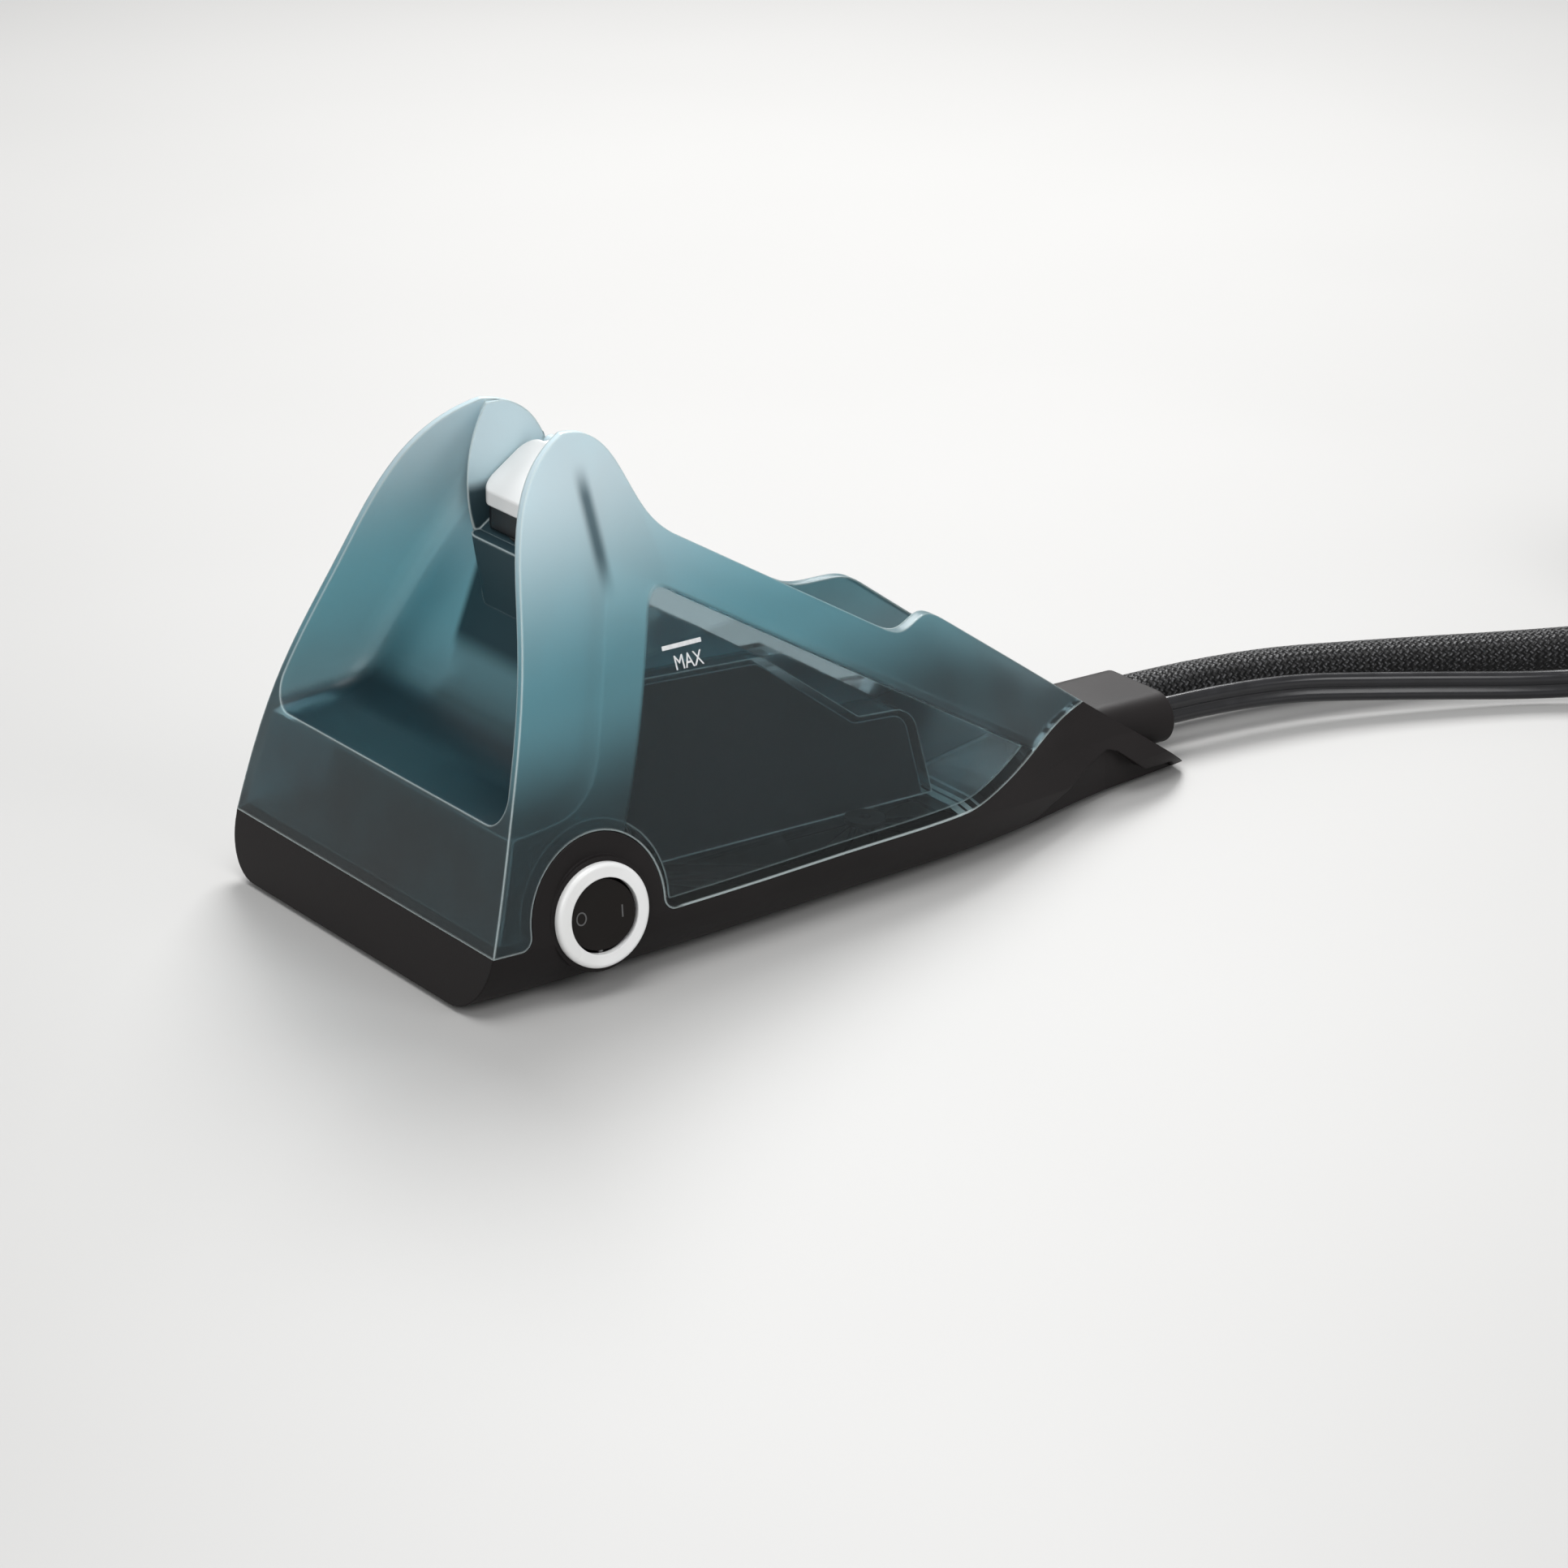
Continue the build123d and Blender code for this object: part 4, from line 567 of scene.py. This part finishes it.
def laid_on(name, node, origin, out, shapes, lift, material, body):
    """Lays flat shapes on a node's face as seen against out, closed and lift proud of it.

    A shape is a list of (rearward, up) corners in metres and a list of faces.
    """
    target = NODES[node]
    inverse = target.matrix_world.inverted()
    out = Vector(out).normalized()
    across = Vector((1, 0, 0))
    up = out.cross(across)
    bm = bmesh.new()
    for corners, faces in shapes:
        verts = []
        for a, b in corners:
            start = Vector(origin) + across * a + up * b + out * CAST_START
            hit, place, _, _ = target.ray_cast(inverse @ start, inverse.to_3x3() @ -out)
            if not hit:
                raise RuntimeError(f"{name} misses {node}")
            verts.append(bm.verts.new(target.matrix_world @ place + out * lift))
        for face in faces:
            bm.faces.new([verts[k] for k in face])
    bmesh.ops.recalc_face_normals(bm, faces=bm.faces[:])
    raised = bmesh.ops.extrude_face_region(bm, geom=bm.faces[:])
    sunk = [part for part in raised["geom"] if isinstance(part, bmesh.types.BMVert)]
    bmesh.ops.translate(bm, vec=-out * MARK_SINK * lift, verts=sunk)
    bmesh.ops.recalc_face_normals(bm, faces=bm.faces[:])
    return mesh_piece(name, bm, material, body)


def strip(path, half):
    """A band of even width along a path of (across, up) points."""
    corners = []
    for i, (a, b) in enumerate(path):
        before, after = path[max(i - 1, 0)], path[min(i + 1, len(path) - 1)]
        run = Vector((after[0] - before[0], after[1] - before[1])).normalized()
        corners += [(a - run.y * half, b + run.x * half), (a + run.y * half, b - run.x * half)]
    return corners, [(2 * i, 2 * i + 1, 2 * i + 3, 2 * i + 2) for i in range(len(path) - 1)]


def curve_mesh(curve, read):
    """What read finds in the mesh of a curve; curve and mesh are then removed."""
    holder = bpy.data.objects.new(curve.name, curve)
    mesh = bpy.data.meshes.new_from_object(holder)
    found = read(mesh)
    bpy.data.meshes.remove(mesh)
    bpy.data.objects.remove(holder)
    bpy.data.curves.remove(curve)
    return found


def lettering(text, height):
    """Flat letters as (across, up) corners and faces, from the font that Blender carries."""
    curve = bpy.data.curves.new("letters", "FONT")
    curve.body = text
    curve.size = height / CAPITAL_SHARE
    return curve_mesh(curve, lambda mesh: (
        [(v.co.x, v.co.y) for v in mesh.vertices], [tuple(f.vertices) for f in mesh.polygons]))


def ending(route):
    """The end of a route, its heading there and the way to its left."""
    end = Vector(route[-1])
    heading = (end - Vector(route[-2])).normalized()
    return end, heading, Vector((-heading.y, heading.x, 0))


def coil_points(route, coil):
    """Control points of a coil: in on top, down a layer, out below, and a straight tail."""
    start, heading, side = ending(route)
    inner, pitch, rounds, drop, tail, steps = coil.values()
    centre = start + side * (inner + pitch * rounds)
    spread = 1 / math.cos(math.pi / steps)
    total = round(2 * rounds * steps)
    points = []
    for i in range(1, total + 1):
        lap = i / steps - rounds
        if lap <= 0.5:
            radius = inner - pitch * lap
        elif lap <= 1.0:
            radius = inner - pitch / 2 + 3 * pitch * (lap - 0.5)
        else:
            radius = inner + pitch * lap
        fall = drop * (1 - math.cos(math.pi * min(max(2 * lap, 0.0), 1.0))) / 2
        swing = 2 * math.pi * (lap + rounds)
        out = heading * math.sin(swing) - side * math.cos(swing)
        reach = radius * (spread if i < total else 1.0)
        points.append(centre + out * reach - Vector((0, 0, fall)))
    onward = heading * math.cos(swing) + side * math.sin(swing)
    return [*points, points[-1] + onward * tail / 2, points[-1] + onward * tail]


def cord_line(name, route, coil):
    """Points along a smooth spline over a route and its coil."""
    controls = [*map(Vector, route), *coil_points(route, coil)]
    curve = bpy.data.curves.new(name, "CURVE")
    curve.dimensions = "3D"
    curve.resolution_u = LINE_STEPS
    spline = curve.splines.new("NURBS")
    spline.points.add(len(controls) - 1)
    for point, place in zip(spline.points, controls):
        point.co = (*place, 1.0)
    spline.order_u = 3
    spline.use_endpoint_u = True
    return curve_mesh(curve, lambda mesh: [v.co.copy() for v in mesh.vertices])


def skin(rings):
    """A closed mesh over rings of metres gone, places and their shares round or across."""
    bm = bmesh.new()
    layer = bm.loops.layers.uv.new("lengthwise")
    rows = [(gone, [bm.verts.new(place) for place in places], shares)
            for gone, places, shares in rings]
    for (u0, low, shares), (u1, high, _) in zip(rows, rows[1:]):
        for k in range(len(low)):
            after = (k + 1) % len(low)
            face = bm.faces.new((low[k], low[after], high[after], high[k]))
            face.smooth = True
            v0, v1 = shares[k:k + 2]
            for loop, uv in zip(face.loops, ((u0, v0), (u0, v1), (u1, v1), (u1, v0))):
                loop[layer].uv = uv
    bm.faces.new(list(reversed(rows[0][1])))
    bm.faces.new(rows[-1][1])
    bmesh.ops.recalc_face_normals(bm, faces=bm.faces[:])
    return bm


def tube(line, profile, upright):
    """Skins a line with a closed profile of (across, up) points; upright keeps its up side up."""
    shares = [k / len(profile) for k in range(len(profile) + 1)]
    rings = []
    gone = 0.0
    up = Vector((0, 0, 1))
    for i, place in enumerate(line):
        ahead = (line[min(i + 1, len(line) - 1)] - line[max(i - 1, 0)]).normalized()
        if upright:
            up = Vector((0, 0, 1))
        across = up.cross(ahead).normalized()
        up = ahead.cross(across).normalized()
        if i:
            gone += (place - line[i - 1]).length
        rings.append((gone, [place + across * a + up * b for a, b in profile], shares))
    return skin(rings), gone


def round_profile(radius):
    """A circle of (across, up) points."""
    turns = [2 * math.pi * k / HOSE_SIDES for k in range(HOSE_SIDES)]
    return [(radius * math.cos(turn), radius * math.sin(turn)) for turn in turns]


def twin_profile(core, gap):
    """Two round cores one above the other, joined by a narrow waist."""
    profile = []
    sweep = 2 * (math.pi - LOBE_WAIST)
    for centre, turn in ((gap, 0.0), (-gap, math.pi)):
        for k in range(LOBE_STEPS):
            angle = turn - math.pi / 2 + LOBE_WAIST + k * sweep / (LOBE_STEPS - 1)
            profile.append((core * math.cos(angle), centre + core * math.sin(angle)))
    return profile


def strap_path(wide, flat, corner, thick):
    """Once round a coil and on over the start: (out, up) place, (out, up) normal and lift."""
    path = [(wide, share * flat, 1.0, 0.0, 0.0) for share in (-STRAP_START, STRAP_START)]
    for k, (a, b) in enumerate(STRAP_SIGNS):
        for i in range(CORNER_STEPS + 1):
            turn = math.pi / 2 * (k + i / CORNER_STEPS)
            n, m = math.cos(turn), math.sin(turn)
            path.append((a * (wide - corner) + corner * n, b * flat + corner * m, n, m, 0.0))
    low, high = STRAP_LAP
    for k in range(LAP_STEPS + 1):
        lift = min(1.0, k / LAP_RISE) * thick * LAP_LIFT
        path.append((wide, flat * (low + (high - low) * k / LAP_STEPS), 1.0, 0.0, lift))
    return path


def strap(name, node, route, quarter, corner, material):
    """Strap once round a coil and on over its own start, in the place of its CAD node."""
    _, heading, side = ending(route)
    swing = quarter * math.pi / 2
    out = heading * math.sin(swing) - side * math.cos(swing)
    up = Vector((0, 0, 1))
    ways = (out, up, out.cross(up))
    corners = [NODES[node].matrix_world @ v.co for v in NODES[node].data.vertices]
    spans = [(min(c.dot(way) for c in corners), max(c.dot(way) for c in corners)) for way in ways]
    middle = sum((way * (low + high) / 2 for way, (low, high) in zip(ways, spans)), Vector())
    half_out, half_up, edge = ((high - low) / 2 for low, high in spans)
    thick = cords().strap_thickness
    trim = STRAP_TRIM * thick
    wide, tall = half_out - thick / 2, half_up - thick / 2
    path = strap_path(wide, tall - corner, corner, thick)
    rings = []
    gone = 0.0
    before = None
    for i, (a, b, n, m, lift) in enumerate(path):
        rest = len(path) - 1 - i
        reach = edge * STRAP_TIP[max(0, 2 - rest)]
        normal = out * n + up * m
        centre = middle + out * a + up * b + normal * lift
        if before:
            gone += (centre - before).length
        before = centre
        section = [
            (-reach, 0.0), (trim - reach, thick / 2), (reach - trim, thick / 2),
            (reach, 0.0), (reach - trim, -thick / 2), (trim - reach, -thick / 2),
        ]
        places = [centre + ways[2] * s + normal * t for s, t in section]
        shares = [s / (2 * edge) + 0.5 for s, _ in (*section, section[0])]
        rings.append((gone, places, shares))
    piece = mesh_piece(name, skin(rings), material)
    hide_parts(node)
    return piece


class MOP_OT_shells(bpy.types.Operator):
    """Finishes the base, exit block and bottom pieces"""

    bl_idname = "mop.shells"
    bl_label = "Base and exit block"

    def execute(self, context):
        charcoal = moulded(
            "charcoal_satin", colours().charcoal, rough=0.46, grain=0.00004, edge=0.0008,
            gloss=0.13)
        dress(charcoal, "base_hull", "exit_block", "bottom_plate", "hose_connector")
        rubber = moulded("rubber_black", (0.012, 0.012, 0.012), rough=0.7)
        dress(rubber, "rubber_feet", "pump_mounts", "outlet_grommet", "cap_seal")
        return {"FINISHED"}


class MOP_OT_tank(bpy.types.Operator):
    """Finishes the water tank and the cover inside it and adds the level mark"""

    bl_idname = "mop.tank"
    bl_label = "Water tank"

    def execute(self, context):
        dress(tank_plastic(), "water_tank")
        cover = moulded(
            "cover_dark", colours().cover, rough=0.45, grain=0.00001, edge=0.0008, gloss=0.3)
        dress(cover, "boiler_cover")
        shares = [k / LEVEL_BAR_STEPS for k in range(LEVEL_BAR_STEPS + 1)]
        bar = strip([(LEVEL_BAR[0] * k, LEVEL_BAR[1] * k) for k in shares], LEVEL_BAR_HALF)
        letters, faces = lettering("MAX", LETTER_HEIGHT)
        right, below = LETTER_PLACE
        words = [(a + right, b + below - LETTER_FALL * (a + right)) for a, b in letters], faces
        laid_on(
            "level_mark", "water_tank", spot(*LEVEL_PLACE), (0, -1, 0), [bar, words], LEVEL_LIFT,
            plain_print("print_white", (0.75, 0.76, 0.76)), "base")
        return {"FINISHED"}


class MOP_OT_inside(bpy.types.Operator):
    """Finishes the pieces inside the unit"""

    bl_idname = "mop.inside"
    bl_label = "Boiler, pump and tubes"

    def execute(self, context):
        zinc = smooth_metal("zinc_plate", (0.55, 0.55, 0.56), rough=0.35)
        dress(zinc, "boiler_bracket", "plate_screws", "cap_hinge_pin", "rocker_pin", "thermal_fuse")
        aluminium = smooth_metal("cast_aluminium", (0.6, 0.6, 0.6), rough=0.5)
        dress(aluminium, "boiler", "boiler_lid")
        brass = smooth_metal("brass_plain", (0.66, 0.48, 0.2), rough=0.3)
        dress(brass, "hose_fitting", "switch_terminals", "plug_blades")
        phenolic = moulded("phenolic_black", (0.015, 0.014, 0.014), rough=0.45)
        dress(phenolic, "thermostat", "switch_can")
        grey = moulded("fitting_grey", (0.3, 0.3, 0.3), rough=0.45)
        dress(grey, "pump", "terminal_block", "filler_strainer")
        silicone = moulded("silicone_pale", (0.6, 0.6, 0.57), rough=0.5)
        dress(silicone, "suction_tube", "feed_tube", "steam_tube")
        return {"FINISHED"}


class MOP_OT_cap(bpy.types.Operator):
    """Finishes the filler cap"""

    bl_idname = "mop.cap"
    bl_label = "Filler cap"

    def execute(self, context):
        white = moulded(
            "white_gloss", colours().white, rough=0.32, grain=0.00003, edge=0.0005, coat=0.3)
        dress(white, "cap_lid")
        dark = moulded("cap_dark", (0.012, 0.013, 0.015), rough=0.3, grain=0.00003, gloss=0.35)
        dress(dark, "cap_body")
        return {"FINISHED"}


class MOP_OT_switch(bpy.types.Operator):
    """Finishes the ring and rocker and adds the two marks"""

    bl_idname = "mop.switch"
    bl_label = "Rocker switch"

    def execute(self, context):
        black = moulded(
            "rocker_black", colours().rocker, rough=0.28, grain=0.00002, edge=0.0004, gloss=0.16)
        dress(black, "switch_rocker")
        white = moulded(
            "white_ring", shade(colours().white, 1.2), rough=0.32, grain=0.00003, edge=0.0005,
            coat=0.3)
        dress(white, "switch_bezel")
        turns = [2 * math.pi * k / RING_STEPS for k in range(RING_STEPS + 1)]
        wide, tall = RING_RADII
        ring = [(RING_PLACE + wide * math.cos(turn), tall * math.sin(turn)) for turn in turns]
        shares = [2 * k / STROKE_STEPS - 1 for k in range(STROKE_STEPS + 1)]
        stroke = [(STROKE_PLACE, STROKE_HALF * share) for share in shares]
        laid_on(
            "rocker_marks", "switch_rocker", spot(*ROCKER_PLACE),
            (0, -math.cos(ROCKER_LEAN), math.sin(ROCKER_LEAN)),
            [strip(ring, MARK_HALF), strip(stroke, MARK_HALF)], MARK_LIFT,
            plain_print("print_grey", (0.10, 0.10, 0.10)), "rocker")
        return {"FINISHED"}


class MOP_OT_cords(bpy.types.Operator):
    """Lays the braided hose and the flat twin lead, with their straps"""

    bl_idname = "mop.cords"
    bl_label = "Hose and lead"

    def execute(self, context):
        size = cords()
        weave = webbing()
        hose_strap = strap("hose_strap", "hose_tie", HOSE_ROUTE, **HOSE_STRAP, material=weave)
        lead_strap = strap("lead_strap", "lead_tie", LEAD_ROUTE, **LEAD_STRAP, material=weave)

        line = cord_line("hose_line", HOSE_ROUTE, HOSE_COIL)
        bm, length = tube(line, round_profile(size.hose_diameter / 2), False)
        hose = mesh_piece("braided_hose", bm, braided())
        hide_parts("steam_hose", "hose_coil")

        line = cord_line("lead_line", LEAD_ROUTE, LEAD_COIL)
        core = size.lead_thickness / 2
        gap = size.lead_width / 2 - core
        bm, length = tube(line, twin_profile(core, gap), True)
        lead = mesh_piece("twin_lead", bm, vinyl())
        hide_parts("mains_lead", "lead_coil")
        dress(moulded("plug_vinyl", colours().vinyl, rough=0.35), "plug_body", "lead_tail")
        return {"FINISHED"}


class MOP_OT_stage(bpy.types.Operator):
    """Sets the floor, lights and camera"""

    bl_idname = "mop.stage"
    bl_label = "Stage"

    def execute(self, context):
        scene = context.scene
        scene.view_settings.view_transform = "Standard"
        backdrop = (*colours().backdrop, 1.0)

        # Floor that fades into the backdrop where the camera sees it from afar
        bm = bmesh.new()
        bmesh.ops.create_grid(bm, x_segments=1, y_segments=1, size=FLOOR_HALF)
        mesh = bpy.data.meshes.new("floor")
        bm.to_mesh(mesh)
        bm.free()
        floor = bpy.data.objects.new("floor", mesh)
        scene.collection.objects.link(floor)
        paint = Paint("floor_pale")
        near = paint.shader(paint.cloudy(paint.noise(3.0), colours().floor, 0.985, 1.01), 0.55)
        far = paint.node("ShaderNodeEmission", None, {"Color": backdrop, "Strength": 1.0})
        reach = paint.node(
            "ShaderNodeVectorMath", {"operation": "LENGTH"}, {0: paint.place()}, out="Value")
        away = reach.ease(*FLOOR_FADE) * paint.watched()
        mesh.materials.append(paint.show(paint.layered(away, near, far)))

        # Room light for the surfaces, backdrop for the camera
        sky = Paint("studio", world=True)
        room, behind = (
            sky.node("ShaderNodeBackground", None, {"Color": colour, "Strength": strength})
            for colour, strength in (((*ROOM_LIGHT, 1.0), ROOM_STRENGTH), (backdrop, 1.0)))
        scene.world = sky.show(sky.layered(sky.watched(), room, behind))

        for name, place, aim, wide, watts in LAMPS:
            lamp = bpy.data.lights.new(name, "AREA")
            lamp.size = wide
            lamp.energy = watts
            holder = bpy.data.objects.new(name, lamp)
            holder.location = place
            turn = (Vector(aim) - Vector(place)).to_track_quat("-Z", "Y")
            holder.rotation_euler = turn.to_euler()
            scene.collection.objects.link(holder)

        lens = bpy.data.cameras.new("camera")
        lens.sensor_width = SENSOR_WIDTH
        lens.lens = FOCAL_PIXELS / FRAME_PIXELS * SENSOR_WIDTH
        lens.shift_y = SHIFT_PIXELS / FRAME_PIXELS
        lens.clip_start = 0.05
        lens.clip_end = 50.0
        camera = bpy.data.objects.new("camera", lens)
        camera.location = CAMERA_PLACE
        camera.rotation_euler = Vector(CAMERA_AIM).to_track_quat("-Z", "Y").to_euler()
        scene.collection.objects.link(camera)
        scene.camera = camera
        return {"FINISHED"}


class MOP_PT_panel(bpy.types.Panel):
    """Lists the steps"""

    bl_idname = "MOP_PT_panel"
    bl_label = "Steam mop tank unit"
    bl_space_type = "VIEW_3D"
    bl_region_type = "UI"
    bl_category = "Steam mop"

    def draw(self, context):
        for step in STEPS:
            self.layout.operator(step.bl_idname)
        for group in (context.scene.mop_cords, context.scene.mop_colours):
            for name in group.bl_rna.properties.keys():
                if name not in ("rna_type", "name"):
                    self.layout.prop(group, name)


STEPS = (
    MOP_OT_shells, MOP_OT_tank, MOP_OT_inside, MOP_OT_cap, MOP_OT_switch, MOP_OT_cords,
    MOP_OT_stage,
)
CLASSES = (CordSettings, ColourSettings, *STEPS, MOP_PT_panel)


def register():
    for cls in CLASSES:
        bpy.utils.register_class(cls)
    bpy.types.Scene.mop_cords = bpy.props.PointerProperty(type=CordSettings)
    bpy.types.Scene.mop_colours = bpy.props.PointerProperty(type=ColourSettings)


def unregister():
    del bpy.types.Scene.mop_cords
    del bpy.types.Scene.mop_colours
    for cls in reversed(CLASSES):
        bpy.utils.unregister_class(cls)


def main():
    register()
    bpy.ops.mop.shells()
    bpy.ops.mop.tank()
    bpy.ops.mop.inside()
    bpy.ops.mop.cap()
    bpy.ops.mop.switch()
    bpy.ops.mop.cords()
    bpy.ops.mop.stage()


if __name__ == "__main__":
    main()
